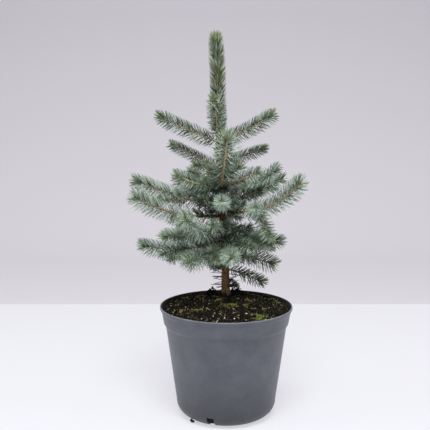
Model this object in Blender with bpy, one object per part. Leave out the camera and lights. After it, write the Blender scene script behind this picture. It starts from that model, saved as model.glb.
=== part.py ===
"""A young blue spruce in a moulded plastic nursery pot, as separate solids: the pot, the
soil, the trunk, the bare boughs, and one spray of needles for each shoot or forked limb.

The origin is the middle of the pot's flat underside. +Z is up, -Y is the front of the plant.
Azimuths run anticlockwise from +X, seen from above, so 270 degrees points to the front.
"""
import math
from collections import namedtuple

import bmesh
import bpy
import numpy as np

# Clearance kept between solids that touch on the real plant
GAP = 0.0003

# Pot: rim, band, shoulder, straight wall and rounded foot
RIM_RADIUS = 0.1125
POT_HEIGHT = 0.1874
WALL = 0.0020
RIM_BEAD_DEPTH = 0.0100
RIM_FACE_DEPTH = 0.0035
BAND_TOP_RADIUS = 0.1092
BAND_FOOT_RADIUS = 0.1060
BAND_FOOT_HEIGHT = 0.1590
SHOULDER_RADIUS = 0.1026
SHOULDER_HEIGHT = 0.1540
FOOT_TOP_RADIUS = 0.0850
FOOT_ROUNDING = 0.0250
RIM_EDGE = 0.0010
RIM_INNER_RADIUS = 0.1093
POT_SIDES = 48

# Drainage notches cut through the foot: in each pair a low one, and a tall one further round
NOTCH_WIDTH = 0.0120
LOW_NOTCH = 0.0080
TALL_NOTCH = 0.0185
NOTCH_PAIRS = (223.0, 352.0, 104.0)
NOTCH_STEP = 28.0
NOTCH_INNER_REACH = 0.0040
NOTCH_OUTER_REACH = 0.0100

# Soil: a mound of peat that stands a little above the rim round the trunk
SOIL_BELOW_RIM = 0.0050
GROUND = 0.1980
FOOT_PLACE = np.array([-0.0005, 0.0250])
SEAT_RADIUS = 0.0125
SOIL_CLEARANCE = 0.00045
MOUND_POWER = 0.9
SOIL_SIDES = 24

# Trunk: radii, lean and a slight sway
TREE_HEIGHT = 0.4340
TRUNK_RADIUS = 0.0068
TIP_RADIUS = 0.0019
TAPER_POWER = 0.55
FLARE = 0.0026
FLARE_FADE = 0.0090
LEAN = 0.0410
SWAY = 0.0018
SWAY_LENGTH = 0.3200
SWAY_START = 0.3090
TRUNK_SIDES = 12
TRUNK_STEP = 0.0200

# Shoots and needles
SHOOT_SIDES = 6
SHOOT_STEP = 0.0068
SHOOT_RADIUS = 0.0024
SHOOT_TIP_RADIUS = 0.0014
BUD_LENGTH = 0.0050
NEEDLE_ANGLE = 60.0
NEEDLE_TIP_ANGLE = 26.0
NEEDLE_TIP_STRETCH = 0.0350
NEEDLE_UPWARD = 0.16
NEEDLE_HALF_WIDTH = 0.0024
NEEDLE_SHARES = (1.0, 0.72, 0.5)
NEEDLE_ANGLE_SPREAD = 5.0
NEEDLE_LENGTH_SPREAD = (0.92, 1.12)
BARE_FOOT = 0.0110
SIDE_LIFT = 8.0
SIDE_SLIMNESS = 0.86
SIDE_NEEDLE = 0.8
SIDE_BARE_FOOT = 0.0090
BOUGH_SIDES = 8
BOUGH_FOOT_RADIUS = 0.0033
BOUGH_STEP = 0.0120
LEADER_FOOT = 0.2870
LEADER_NEEDLE = 0.0175
LEADER_ANGLE = 40.0
LEADER_TIP_ANGLE = 17.0
LEADER_SKIN = 0.0015
LEADER_BUD_ABOVE_TIP = 0.0020

# Each limb leaves the trunk at a height above the soil. It rises at an angle that grows by
# lift along its length. Its first stretch, bare, is a bough. A fork is a side shoot, given
# by the share of the limb where it leaves, its turn sideways, its rise and its length.
Limb = namedtuple("Limb", "name height azimuth rise lift length bare needle forks")

LIMBS = (
    Limb("tier_1_left", 0.264, 192, 22, 3, 0.106, 0, 0.0205, ()),
    Limb("tier_1_front", 0.273, 265, 42, -9, 0.100, 0, 0.0175, ()),
    Limb("tier_1_right", 0.266, 345, 18, 15, 0.100, 0, 0.0205, ()),
    Limb("tier_1_back", 0.275, 88, 32, 4, 0.092, 0, 0.0165, ()),

    Limb("tier_2_left", 0.222, 162, 23, 2, 0.094, 0, 0.0145, ()),
    Limb("tier_2_front_left", 0.218, 218, 10, 2, 0.050, 0, 0.0155, ()),
    Limb("tier_2_right", 0.227, 18, 19, -3, 0.086, 0, 0.0145, ()),
    Limb("tier_2_back", 0.228, 86, 25, 4, 0.082, 0, 0.0160, ()),

    Limb("tier_3_front", 0.187, 278, 40, 15, 0.115, 0, 0.0285, ()),
    Limb("tier_3_left", 0.183, 205, 13, 12, 0.083, 0, 0.0190, ()),
    Limb("tier_3_front_right", 0.188, 330, 20, 2, 0.077, 0, 0.0185, ()),
    Limb("tier_3_right", 0.182, 28, -6, 47, 0.120, 0, 0.0180, ()),
    Limb("tier_3_back_left", 0.190, 128, 12, 6, 0.085, 0, 0.0180, ()),
    Limb("tier_3_back", 0.182, 78, 18, 4, 0.100, 0, 0.0180, ()),

    Limb("tier_4_right", 0.156, 8, 22, 3, 0.114, 0.034, 0.0185, ()),
    Limb("tier_4_left", 0.153, 172, 11, 11, 0.155, 0.034, 0.0190, ((0.38, 40, -4, 0.049),)),
    Limb("tier_4_front", 0.158, 270, 10.5, 0, 0.085, 0, 0.0190, ()),
    Limb("tier_4_front_right", 0.149, 332, -10, 61, 0.157, 0.036, 0.0260,
         ((0.34, -56, 11, 0.056), (0.44, -45, -38, 0.062))),
    Limb("tier_4_front_left", 0.140, 196, -5, 37, 0.156, 0.036, 0.0230, ()),
    Limb("tier_4_low_left", 0.104, 237, 5, 30, 0.125, 0, 0.0235, ()),
    Limb("tier_4_low_front", 0.114, 255, 14, 0, 0.075, 0, 0.0190, ()),
    Limb("tier_4_back_right", 0.150, 45, 20, 4, 0.128, 0.040, 0.0195, ((0.42, -38, 12, 0.060),)),
    Limb("tier_4_back", 0.140, 92, 10, 6, 0.128, 0.040, 0.0195, ((0.42, 40, 6, 0.060),)),
    Limb("tier_4_back_left", 0.145, 134, 20, 6, 0.126, 0.040, 0.0195, ((0.44, -38, 12, 0.058),)),

    Limb("tier_5_left", 0.098, 186, -22, 38, 0.141, 0.040, 0.0200, ((0.48, 40, -6, 0.056),)),
    Limb("tier_5_upper_left", 0.111, 203, -1, 0, 0.107, 0, 0.0200, ()),
    Limb("tier_5_front_left", 0.083, 236, -5, 2, 0.105, 0, 0.0235, ((0.42, -34, -8, 0.050),)),
    Limb("tier_5_low_front", 0.092, 250, -6, 0, 0.060, 0, 0.0190, ()),
    Limb("tier_5_front", 0.085, 276, -4, 9, 0.100, 0, 0.0225, ()),
    Limb("tier_5_front_right", 0.096, 307, -1, 0, 0.070, 0, 0.0190, ()),
    Limb("tier_5_low_right", 0.083, 345, -18, 6, 0.088, 0, 0.0215, ()),
    Limb("tier_5_right", 0.101, 350, -3, 2, 0.095, 0, 0.0200, ((0.50, -38, -8, 0.046),)),
    Limb("tier_5_right_back", 0.093, 20, -9, 2, 0.086, 0, 0.0190, ()),
    Limb("tier_5_back_right", 0.097, 58, -6, 6, 0.118, 0.036, 0.0200, ((0.45, -36, -4, 0.052),)),
    Limb("tier_5_back", 0.087, 100, -8, 8, 0.118, 0.036, 0.0200, ((0.45, 38, -6, 0.054),)),
    Limb("tier_5_back_left", 0.101, 143, -8, 10, 0.126, 0.036, 0.0200, ((0.45, -34, -6, 0.054),)),

    Limb("tier_6_right", 0.048, 345, -13, -8, 0.068, 0, 0.0165, ()),
    Limb("tier_6_left", 0.043, 192, 42, -10, 0.034, 0, 0.0170, ()),
    Limb("tier_6_back", 0.052, 112, -6, -10, 0.062, 0, 0.0120, ()),
)


def new_material(name, color, roughness):
    """A plain coated surface."""
    material = bpy.data.materials.new(name)
    material.use_nodes = True
    shader = material.node_tree.nodes["Principled BSDF"]
    shader.inputs["Base Color"].default_value = (*color, 1.0)
    shader.inputs["Roughness"].default_value = roughness
    return material


def new_object(name, points, faces, material, smooth=True):
    """An object whose mesh has the given points and faces."""
    mesh = bpy.data.meshes.new(name)
    mesh.from_pydata([tuple(p) for p in points], [], [tuple(f) for f in faces])
    mesh.materials.append(material)
    piece = bpy.data.objects.new(name, mesh)
    bpy.context.scene.collection.objects.link(piece)
    if smooth:
        mesh.shade_smooth()
        mesh.set_sharp_from_angle(angle=math.radians(32))
    return piece


def ring_quads(rings, sides):
    """The faces between rings of points, each ring with the same number of sides."""
    faces = []
    for low in range(0, (rings - 1) * sides, sides):
        for side in range(sides):
            after = (side + 1) % sides
            faces.append((low + side, low + after, low + sides + after, low + sides + side))
    return faces


def closed_tube(rings, sides):
    """The faces of a tube of rings with a flat cap at each end."""
    first_cap = tuple(range(sides))[::-1]
    last = (rings - 1) * sides
    last_cap = tuple(range(last, last + sides))
    return ring_quads(rings, sides) + [first_cap, last_cap]


def spokes(sideways, upward, sides):
    """At each point of a path, unit vectors that stand round it at even turns."""
    turn = np.arange(sides) * 2 * math.pi / sides
    return (np.cos(turn)[None, :, None] * sideways[:, None]
            + np.sin(turn)[None, :, None] * upward[:, None])


def turned(profile, sides):
    """Points of a profile of (radius, height) pairs turned about the upright axis."""
    turn = np.arange(sides) * 2 * math.pi / sides
    profile = np.asarray(profile)
    points = np.zeros((len(profile), sides, 3))
    points[..., 0] = profile[:, :1] * np.cos(turn)
    points[..., 1] = profile[:, :1] * np.sin(turn)
    points[..., 2] = profile[:, 1:]
    return points.reshape(-1, 3)


def foot_arc(inset, steps):
    """The foot's rounding from the underside up to the wall, as (radius, height) pairs."""
    middle = FOOT_TOP_RADIUS - FOOT_ROUNDING
    radius = FOOT_ROUNDING - inset
    angles = np.linspace(0, math.pi / 2, steps)
    return [(middle + radius * math.sin(a), FOOT_ROUNDING - radius * math.cos(a)) for a in angles]


def inner_profile(clearance, top):
    """The pot's inner face from its floor to a given height, less a clearance."""
    profile = foot_arc(WALL + clearance, 5)
    profile.append((SHOULDER_RADIUS - WALL - clearance, SHOULDER_HEIGHT))
    band_foot = BAND_FOOT_RADIUS - WALL
    share = (top - BAND_FOOT_HEIGHT) / (POT_HEIGHT - BAND_FOOT_HEIGHT)
    top_radius = band_foot + (RIM_INNER_RADIUS - band_foot) * share
    profile.append((band_foot - clearance, BAND_FOOT_HEIGHT))
    profile.append((top_radius - clearance, top))
    return profile


def make_pot(material):
    """The pot: turned wall and floor, with drainage notches cut through its foot."""
    bead_foot = POT_HEIGHT - RIM_BEAD_DEPTH
    outer = foot_arc(0, 6)
    outer += [
        (SHOULDER_RADIUS, SHOULDER_HEIGHT),
        (BAND_FOOT_RADIUS, BAND_FOOT_HEIGHT),
        (BAND_TOP_RADIUS, bead_foot),
        (RIM_RADIUS, POT_HEIGHT - RIM_FACE_DEPTH),
        (RIM_RADIUS, POT_HEIGHT - RIM_EDGE),
        (RIM_RADIUS - RIM_EDGE, POT_HEIGHT),
    ]
    profile = outer + inner_profile(0, POT_HEIGHT)[::-1]
    faces = closed_tube(len(profile), POT_SIDES)
    pot = new_object("pot", turned(profile, POT_SIDES), faces, material)
    notches = make_notch_cutters(material)
    cut(pot, notches, "EXACT")
    return pot


def make_notch_cutters(material):
    """Blocks that stand where the drainage notches go through the foot."""
    blocks = bpy.data.collections.new("notches")
    bpy.context.scene.collection.children.link(blocks)
    inner_reach = FOOT_TOP_RADIUS - FOOT_ROUNDING - NOTCH_INNER_REACH
    outer_reach = FOOT_TOP_RADIUS + NOTCH_OUTER_REACH
    corners = ((inner_reach, -1), (outer_reach, -1), (outer_reach, 1), (inner_reach, 1))
    for start in NOTCH_PAIRS:
        for azimuth, height in ((start, LOW_NOTCH), (start + NOTCH_STEP, TALL_NOTCH)):
            turn = math.radians(azimuth)
            outward = np.array([math.cos(turn), math.sin(turn)])
            across = np.array([-outward[1], outward[0]]) * NOTCH_WIDTH / 2
            plan = [outward * radius + across * side for radius, side in corners]
            points = [(*p, z) for z in (-height, height) for p in plan]
            block = new_object("notch", points, closed_tube(2, 4), material, smooth=False)
            bpy.context.scene.collection.objects.unlink(block)
            blocks.objects.link(block)
    return blocks


def soil_height(share):
    """Height of the soil at a share of the way from the trunk's foot to the pot's wall."""
    edge = POT_HEIGHT - SOIL_BELOW_RIM
    rise = 0.5 + 0.5 * math.cos(math.pi * share)
    return edge + (GROUND - GAP - edge) * rise ** MOUND_POWER


def make_soil(material):
    """The peat: it fills the pot, and rises to a flat seat under the trunk."""
    side = inner_profile(SOIL_CLEARANCE, POT_HEIGHT - SOIL_BELOW_RIM)
    edge_radius = side[-1][0]
    points = list(turned(side, SOIL_SIDES))
    shares = (0.80, 0.60, 0.40, 0.22, 0.0)
    for share in shares:
        radius = SEAT_RADIUS + (edge_radius - SEAT_RADIUS) * share
        for corner in turned([(radius, soil_height(share))], SOIL_SIDES):
            corner[:2] += FOOT_PLACE * (1 - share)
            points.append(corner)
    faces = closed_tube(len(side) + len(shares), SOIL_SIDES)
    return new_object("soil", points, faces, material)


def trunk_middle(height):
    """The trunk's middle at heights above the soil: a lean with one slow sway."""
    height = np.asarray(height, float)
    sway = SWAY * np.sin(2 * math.pi * (height - SWAY_START) / SWAY_LENGTH)
    start = SWAY * math.sin(2 * math.pi * -SWAY_START / SWAY_LENGTH)
    across = FOOT_PLACE[0] - LEAN * height + sway - start
    return np.stack([across, np.full_like(height, FOOT_PLACE[1]), GROUND + height], -1)


def trunk_radius(height):
    """The trunk's radius: it narrows faster towards the tip, and flares at the root."""
    height = np.asarray(height, float)
    share = np.clip(1 - height / TREE_HEIGHT, 0, 1)
    wood = TIP_RADIUS + (TRUNK_RADIUS - TIP_RADIUS) * share ** TAPER_POWER
    return wood + FLARE * np.exp(-np.maximum(height, 0) / FLARE_FADE)


def trunk_solid(name, grown, low, high, material):
    """The trunk, or a copy grown outward by a clearance and lengthened at both ends."""
    heights = np.concatenate([
        [0, 0.004, 0.009, 0.016, 0.026],
        np.arange(0.040, TREE_HEIGHT - 0.008, TRUNK_STEP),
        [TREE_HEIGHT],
    ])
    middle = trunk_middle(heights)
    middle[0, 2] -= low
    middle[-1, 2] += high
    radius = trunk_radius(heights) + grown
    turn = np.arange(TRUNK_SIDES) * 2 * math.pi / TRUNK_SIDES
    points = np.repeat(middle[:, None], TRUNK_SIDES, 1)
    points[..., 0] += radius[:, None] * np.cos(turn)
    points[..., 1] += radius[:, None] * np.sin(turn)
    faces = closed_tube(len(heights), TRUNK_SIDES)
    return new_object(name, points.reshape(-1, 3), faces, material)


def limb_path(start, azimuth, rise, lift, length, step):
    """Points along a limb: each short step is taken at the limb's azimuth and, counted from
    the level, at its rise plus the share of its lift that it has reached."""
    steps = max(3, round(length / step))
    share = (np.arange(steps) + 0.5) / steps
    climb = np.radians(rise + lift * share)
    turn = math.radians(azimuth)
    moves = np.stack([np.cos(climb) * math.cos(turn), np.cos(climb) * math.sin(turn), np.sin(climb)], 1)
    return np.vstack([start, start + np.cumsum(moves * length / steps, 0)])


def distances(path):
    """How far each point of a path lies along it from its start."""
    steps = np.linalg.norm(np.diff(path, axis=0), axis=1)
    return np.concatenate([[0], np.cumsum(steps)])


def frames(path):
    """At each point of a path: the way along it, the way sideways and the way up from it."""
    along = np.gradient(path, axis=0)
    along /= np.linalg.norm(along, axis=1, keepdims=True)
    reference = (0, 0, 1) if abs(along[0, 2]) < 0.9 else (0, 1, 0)
    sideways = np.cross(reference, along)
    sideways /= np.linalg.norm(sideways, axis=1, keepdims=True)
    return along, sideways, np.cross(along, sideways)


class Shoot:
    """A slim round stem whose skin is drawn out into needles."""

    def __init__(self, path, radii, needle, bare, angles=(NEEDLE_ANGLE, NEEDLE_TIP_ANGLE)):
        self.path = path
        self.radii = radii
        self.needle = needle
        self.bare = bare
        self.angles = angles


class Space:
    """The room that each mass keeps to: nearer to its own stems than to any other mass's,
    and clear of the trunk and the boughs."""

    def __init__(self):
        self.stems = {}
        self.limbs = []

    def add_stem(self, owner, path):
        self.stems.setdefault(owner, []).append(path)

    def add_limb(self, path, radii):
        self.limbs.append((path, radii))

    def close(self):
        names = sorted(self.stems)
        self.owner = {name: number for number, name in enumerate(names)}
        self.points = np.vstack([np.vstack(self.stems[name]) for name in names])
        counts = [sum(len(path) for path in self.stems[name]) for name in names]
        self.tags = np.repeat(np.arange(len(names)), counts)
        self.limb_points = np.vstack([path for path, radii in self.limbs])
        self.limb_radii = np.concatenate([radii for path, radii in self.limbs])

    def holds(self, owner, root, tip):
        """Whether a needle from its root to its tip lies in the room, with its width."""
        shares = np.array([0.3, 0.6, 0.8, 1.0])
        points = root + (tip - root) * shares[:, None]
        halfwidth = NEEDLE_HALF_WIDTH * (1 - shares)
        far = np.linalg.norm(points[:, None] - self.points[None], axis=2)
        mine = self.tags == self.owner[owner]
        own = far[:, mine].min(1)
        other = far[:, ~mine].min(1)
        clear = np.linalg.norm(points[:, None] - self.limb_points[None], axis=2) - self.limb_radii
        return bool(np.all(other - own > 2 * halfwidth + GAP)
                    and np.all(clear.min(1) > halfwidth + GAP))


def needle_tip(root, along, outward, length, angle):
    """The tip of a needle that leans forward from the stem and bends a little upward."""
    way = math.cos(angle) * along + math.sin(angle) * outward
    way[2] += NEEDLE_UPWARD * math.sin(angle)
    return root + way / np.linalg.norm(way) * length


def shoot_mesh(shoot, owner, space, random):
    """Rings of points along the stem. Every second cell of the skin between two rings is
    drawn out to a needle's tip, where the needle keeps to the mass's own space."""
    along, sideways, upward = frames(shoot.path)
    rings = len(shoot.path)
    skin = shoot.path[:, None] + spokes(sideways, upward, SHOOT_SIDES) * shoot.radii[:, None, None]
    points = list(skin.reshape(-1, 3))
    faces = []
    travelled = distances(shoot.path)
    for low, corners in enumerate(ring_quads(rings, SHOOT_SIDES)):
        ring, side = divmod(low, SHOOT_SIDES)
        corner_points = np.array([points[c] for c in corners])
        root = corner_points.mean(0)
        outward = root - (shoot.path[ring] + shoot.path[ring + 1]) / 2
        outward /= np.linalg.norm(outward)
        grows = (ring + side) % 2 == 0 and travelled[ring] >= shoot.bare
        tip = None
        if grows:
            to_tip = (travelled[-1] - travelled[ring + 1]) / NEEDLE_TIP_STRETCH
            angle = np.interp(max(0, 1 - to_tip) ** 1.5, (0, 1), shoot.angles)
            angle += random.uniform(-NEEDLE_ANGLE_SPREAD, NEEDLE_ANGLE_SPREAD)
            length = shoot.needle * random.uniform(*NEEDLE_LENGTH_SPREAD)
            ends = [needle_tip(root, along[ring], outward, length * share, math.radians(angle))
                    for share in NEEDLE_SHARES]
            tip = next((end for end in ends if space.holds(owner, root, end)), None)
        if tip is None:
            faces.append(corners)
        else:
            points.append(tip)
            last = len(points) - 1
            faces += [(corners[k], corners[(k + 1) % 4], last) for k in range(4)]
    faces.append(tuple(range(SHOOT_SIDES))[::-1])
    points.append(shoot.path[-1] + along[-1] * BUD_LENGTH)
    bud = len(points) - 1
    first = (rings - 1) * SHOOT_SIDES
    faces += [(first + k, first + (k + 1) % SHOOT_SIDES, bud) for k in range(SHOOT_SIDES)]
    return points, faces


def cut(piece, cutters, solver):
    """Takes a collection of cutters away from a piece and removes them."""
    modifier = piece.modifiers.new("cut", "BOOLEAN")
    modifier.operation = "DIFFERENCE"
    modifier.operand_type = "COLLECTION"
    modifier.collection = cutters
    modifier.solver = solver
    apply_modifiers(piece)
    remove_collection(cutters)


def apply_modifiers(piece):
    """Replaces a piece's mesh by what its modifiers make of it."""
    graph = bpy.context.evaluated_depsgraph_get()
    graph.update()
    mesh = bpy.data.meshes.new_from_object(piece.evaluated_get(graph))
    piece.modifiers.clear()
    piece.data = mesh


def remove_collection(collection):
    """Removes a collection and the objects in it."""
    for helper in list(collection.objects):
        bpy.data.objects.remove(helper, do_unlink=True)
    bpy.data.collections.remove(collection)


def drop_scraps(piece):
    """Keeps only the largest connected body of a mesh."""
    shape = bmesh.new()
    shape.from_mesh(piece.data)
    unseen = set(shape.verts)
    bodies = []
    while unseen:
        body = [unseen.pop()]
        for vert in body:
            for edge in vert.link_edges:
                other = edge.other_vert(vert)
                if other in unseen:
                    unseen.discard(other)
                    body.append(other)
        bodies.append(body)
    bodies.sort(key=len)
    for body in bodies[:-1]:
        bmesh.ops.delete(shape, geom=body, context="VERTS")
    bmesh.ops.triangulate(shape, faces=shape.faces)
    shape.to_mesh(piece.data)
    shape.free()


def make_mass(name, shoots, space, random, material, cutter):
    """One mass: its shoots joined by one union, then cut clear of the trunk."""
    sprays = [new_object(name, *shoot_mesh(shoot, name, space, random), material, smooth=False)
              for shoot in shoots]
    mass = sprays[0]
    if len(sprays) > 1:
        others = bpy.data.collections.new(name)
        bpy.context.scene.collection.children.link(others)
        for spray in sprays[1:]:
            bpy.context.scene.collection.objects.unlink(spray)
            others.objects.link(spray)
        union = mass.modifiers.new("union", "BOOLEAN")
        union.operation = "UNION"
        union.operand_type = "COLLECTION"
        union.collection = others
        union.solver = "MANIFOLD"
        apply_modifiers(mass)
        remove_collection(others)
    clear_of_trunk(mass, cutter)
    mass.name = name
    mass.data.name = name
    return mass


def clear_of_trunk(piece, cutter):
    """Cuts a piece along the trunk's grown copy, so that it meets the trunk with a gap."""
    modifier = piece.modifiers.new("cut", "BOOLEAN")
    modifier.operation = "DIFFERENCE"
    modifier.object = cutter
    modifier.solver = "MANIFOLD"
    apply_modifiers(piece)
    drop_scraps(piece)


def make_bough(name, path, radii, material, cutter):
    """One bare tapering limb, from the trunk to the foot of its mass."""
    along, sideways, upward = frames(path)
    points = path[:, None] + spokes(sideways, upward, BOUGH_SIDES) * radii[:, None, None]
    faces = closed_tube(len(path), BOUGH_SIDES)
    bough = new_object(name, points.reshape(-1, 3), faces, material)
    clear_of_trunk(bough, cutter)
    return bough


def split_path(path, length):
    """The stretch of a path up to a length along it, and the rest, which starts a gap on."""
    travelled = distances(path)
    total = travelled[-1]

    def points_at(far):
        return np.stack([np.interp(far, travelled, path[:, k]) for k in range(3)], -1)

    before = np.linspace(0, length, max(3, round(length / BOUGH_STEP) + 1))
    after = np.linspace(length + GAP, total, max(4, round((total - length) / SHOOT_STEP)))
    return points_at(before), points_at(after)


def shoot_radii(count):
    """Radii along a shoot, which narrows evenly to its tip."""
    return np.linspace(SHOOT_RADIUS, SHOOT_TIP_RADIUS, count)


def limb_shoots(limb):
    """A limb's bare path and its shoots: the main one and its side shoots."""
    start = trunk_middle(limb.height)
    path = limb_path(start, limb.azimuth, limb.rise, limb.lift, limb.length, SHOOT_STEP)
    bough = None
    leafy = path
    foot = float(trunk_radius(limb.height)) + BARE_FOOT
    if limb.bare:
        bough, leafy = split_path(path, limb.bare + float(trunk_radius(limb.height)))
        foot = 0
    shoots = [Shoot(leafy, shoot_radii(len(leafy)), limb.needle, foot)]
    for share, turn, rise, length in limb.forks:
        root = path[round(share * (len(path) - 1))]
        side = limb_path(root, limb.azimuth + turn, rise, SIDE_LIFT, length, SHOOT_STEP)
        radii = shoot_radii(len(side)) * SIDE_SLIMNESS
        shoots.append(Shoot(side, radii, limb.needle * SIDE_NEEDLE, SIDE_BARE_FOOT))
    return bough, shoots


def leader_shoot():
    """The leading shoot: a skin round the trunk's top that ends in a bud above its tip."""
    heights = np.arange(LEADER_FOOT, TREE_HEIGHT, SHOOT_STEP)
    heights = np.append(heights, TREE_HEIGHT + LEADER_BUD_ABOVE_TIP)
    radii = trunk_radius(heights) + LEADER_SKIN
    return Shoot(trunk_middle(heights), radii, LEADER_NEEDLE, 0, (LEADER_ANGLE, LEADER_TIP_ANGLE))


def build():
    """Makes every solid of the plant and its pot."""
    for old in list(bpy.data.objects):
        bpy.data.objects.remove(old, do_unlink=True)
    random = np.random.default_rng(7)
    plastic = new_material("grey_polypropylene", (0.125, 0.135, 0.158), 0.45)
    peat = new_material("peat", (0.022, 0.018, 0.012), 0.95)
    bark = new_material("spruce_bark", (0.080, 0.055, 0.030), 0.90)
    needles = new_material("blue_needles", (0.190, 0.260, 0.215), 0.60)

    make_pot(plastic)
    make_soil(peat)
    trunk_solid("trunk", 0, 0, 0, bark)
    cutter = trunk_solid("trunk_clearance", GAP / math.cos(math.pi / TRUNK_SIDES), 0.01, GAP, bark)

    space = Space()
    heights = np.arange(0, TREE_HEIGHT, 0.004)
    space.add_limb(trunk_middle(heights), trunk_radius(heights))
    leader = leader_shoot()
    space.add_stem("leader_spray", leader.path)
    grown = []
    for limb in LIMBS:
        bough, shoots = limb_shoots(limb)
        grown.append((limb, bough, shoots))
        if bough is not None:
            radii = np.linspace(BOUGH_FOOT_RADIUS, SHOOT_RADIUS, len(bough))
            space.add_limb(bough, radii)
            make_bough(limb.name + "_bough", bough, radii, bark, cutter)
        for shoot in shoots:
            space.add_stem(limb.name + "_spray", shoot.path)
    space.close()

    make_mass("leader_spray", [leader], space, random, needles, cutter)
    for limb, bough, shoots in grown:
        make_mass(limb.name + "_spray", shoots, space, random, needles, cutter)
    bpy.data.objects.remove(cutter, do_unlink=True)


build()
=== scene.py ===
"""The looks of a young blue spruce in a moulded nursery pot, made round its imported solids.

The origin is the middle of the pot's underside, +Z is up and -Y is the front. Lengths are in
metres and azimuths in degrees, anticlockwise from +X seen from above.
"""
import math
from collections import namedtuple

import bpy
import numpy as np
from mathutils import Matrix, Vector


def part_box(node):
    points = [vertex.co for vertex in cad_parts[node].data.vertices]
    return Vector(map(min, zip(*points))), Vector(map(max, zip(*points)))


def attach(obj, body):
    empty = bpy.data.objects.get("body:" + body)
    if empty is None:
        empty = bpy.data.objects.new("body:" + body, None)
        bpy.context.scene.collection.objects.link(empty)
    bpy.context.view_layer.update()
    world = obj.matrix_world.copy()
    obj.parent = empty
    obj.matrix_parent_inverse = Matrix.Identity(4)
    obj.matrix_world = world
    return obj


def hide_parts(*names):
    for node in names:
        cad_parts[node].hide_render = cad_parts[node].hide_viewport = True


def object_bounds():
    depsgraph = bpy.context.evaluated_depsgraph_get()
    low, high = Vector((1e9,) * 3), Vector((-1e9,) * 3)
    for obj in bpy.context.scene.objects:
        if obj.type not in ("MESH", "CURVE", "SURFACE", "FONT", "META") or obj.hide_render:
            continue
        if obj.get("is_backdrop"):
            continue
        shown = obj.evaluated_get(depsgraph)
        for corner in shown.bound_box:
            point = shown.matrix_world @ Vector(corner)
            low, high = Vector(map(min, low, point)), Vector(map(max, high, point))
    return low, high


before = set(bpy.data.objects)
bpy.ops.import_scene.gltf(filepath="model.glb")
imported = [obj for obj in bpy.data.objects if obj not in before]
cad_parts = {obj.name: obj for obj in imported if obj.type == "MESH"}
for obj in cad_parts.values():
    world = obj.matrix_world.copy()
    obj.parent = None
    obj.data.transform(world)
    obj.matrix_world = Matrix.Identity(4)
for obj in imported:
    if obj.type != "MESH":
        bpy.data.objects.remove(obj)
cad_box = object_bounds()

MM = 0.001

# Pot: the same rim, band, shoulder, wall and rounded foot as the solid
POT_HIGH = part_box("pot")[1]
RIM_RADIUS = POT_HIGH.x
POT_HEIGHT = POT_HIGH.z
WALL = 2.0 * MM
BAND_TOP_RADIUS = 109.2 * MM
BAND_FOOT_RADIUS = 106.0 * MM
BAND_FOOT_HEIGHT = 159.0 * MM
SHOULDER_RADIUS = 102.6 * MM
SHOULDER_HEIGHT = 154.0 * MM
FOOT_TOP_RADIUS = 85.0 * MM
FOOT_ROUNDING = 25.0 * MM
RIM_BEAD_DEPTH = 10.0 * MM
RIM_FACE_DEPTH = 3.5 * MM
RIM_INNER_RADIUS = 109.3 * MM
RIM_FLAT = 1.4 * MM
RIM_CHAMFER = 1.2 * MM
LIP_DEPTH = 4.0 * MM
EDGE_ROUNDING = 1.3 * MM
POT_SIDES = 240
NOTCH_WIDTH = 12.0 * MM
LOW_NOTCH = 8.0 * MM
TALL_NOTCH = 18.5 * MM
NOTCH_PAIRS = (223.0, 352.0, 104.0)
NOTCH_STEP = 28.0
# Up to which heights the wall is stained, and darkened towards its foot with painted shade, and how far its
# edge is worn
STAINED_BELOW = 55.0 * MM
SHADE_PAINTED_BELOW = 90.0 * MM
WORN_EDGE = 1.6 * MM

# Sizes of the patterns on the pot and in the peat, in metres
POT_CLOUDS = 1 / 24
POT_SPOTS = 1 / 45
MOULDED_GRAIN = 1 / 900
PEAT_GRAIN = 1 / 420

# Soil: a mound that stands a little above the rim round the trunk's foot
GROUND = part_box("trunk")[0].z
FOOT_PLACE = np.array([-0.5 * MM, 25.0 * MM])
SOIL_EDGE = POT_HEIGHT - 5.0 * MM
SOIL_CLEARANCE = 0.3 * MM
SEAT_RADIUS = 12.5 * MM
MOUND_POWER = 0.9
# Lumps of the surface in mm: height and size, and the seed of their waves
SOIL_LUMPS = ((1.6, 26, 5), (1.1, 9, 6), (0.6, 3.4, 7))
# How far above the soil the bark is darkened with painted shade
SHADED_BARK_REACH = 13.0 * MM
CRUMB_COUNT = 8600
CRUMB_SIZES = (0.6 * MM, 2.5 * MM)
CLOD_COUNT = 60
PERLITE_COUNT = 34
LITTER_COUNT = 70
# Least and most, in mm: how far clods lie from the trunk, then the sizes of loose pieces
CLOD_REACH = (11, 30)
CLOD_SIZES = (1.8, 4.2)
CHIP_SIZES = (1.0, 2.0)
HEAPED_SIZES = (0.9, 2.3)
PERLITE_SIZES = (0.5, 1.2)
LITTER_LENGTHS = (5, 13)
LITTER_WIDTHS = (0.7, 1.1)
MOSS_LENGTHS = (2.2, 3.8)
MOSS_WIDTHS = (0.7, 1.1)

# Trunk: radii, lean and a slight sway, as in the solid
TREE_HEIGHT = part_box("trunk")[1].z - GROUND
TRUNK_RADIUS = 6.8 * MM
TIP_RADIUS = 1.9 * MM
TAPER_POWER = 0.55
FLARE = 2.6 * MM
FLARE_FADE = 9.0 * MM
LEAN = 0.0410
SWAY = 1.8 * MM
SWAY_LENGTH = 0.3200
SWAY_START = 0.3090

# Shoots and their stems: some limbs are thicker, more or less leafy than the others, or have stems painted
# paler as if lit
SHOOT_STEP = 6.8 * MM
SHOOT_RADIUS = 1.7 * MM
SHOOT_TIP_RADIUS = 1.0 * MM
BOUGH_FOOT_RADIUS = 3.3 * MM
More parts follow.
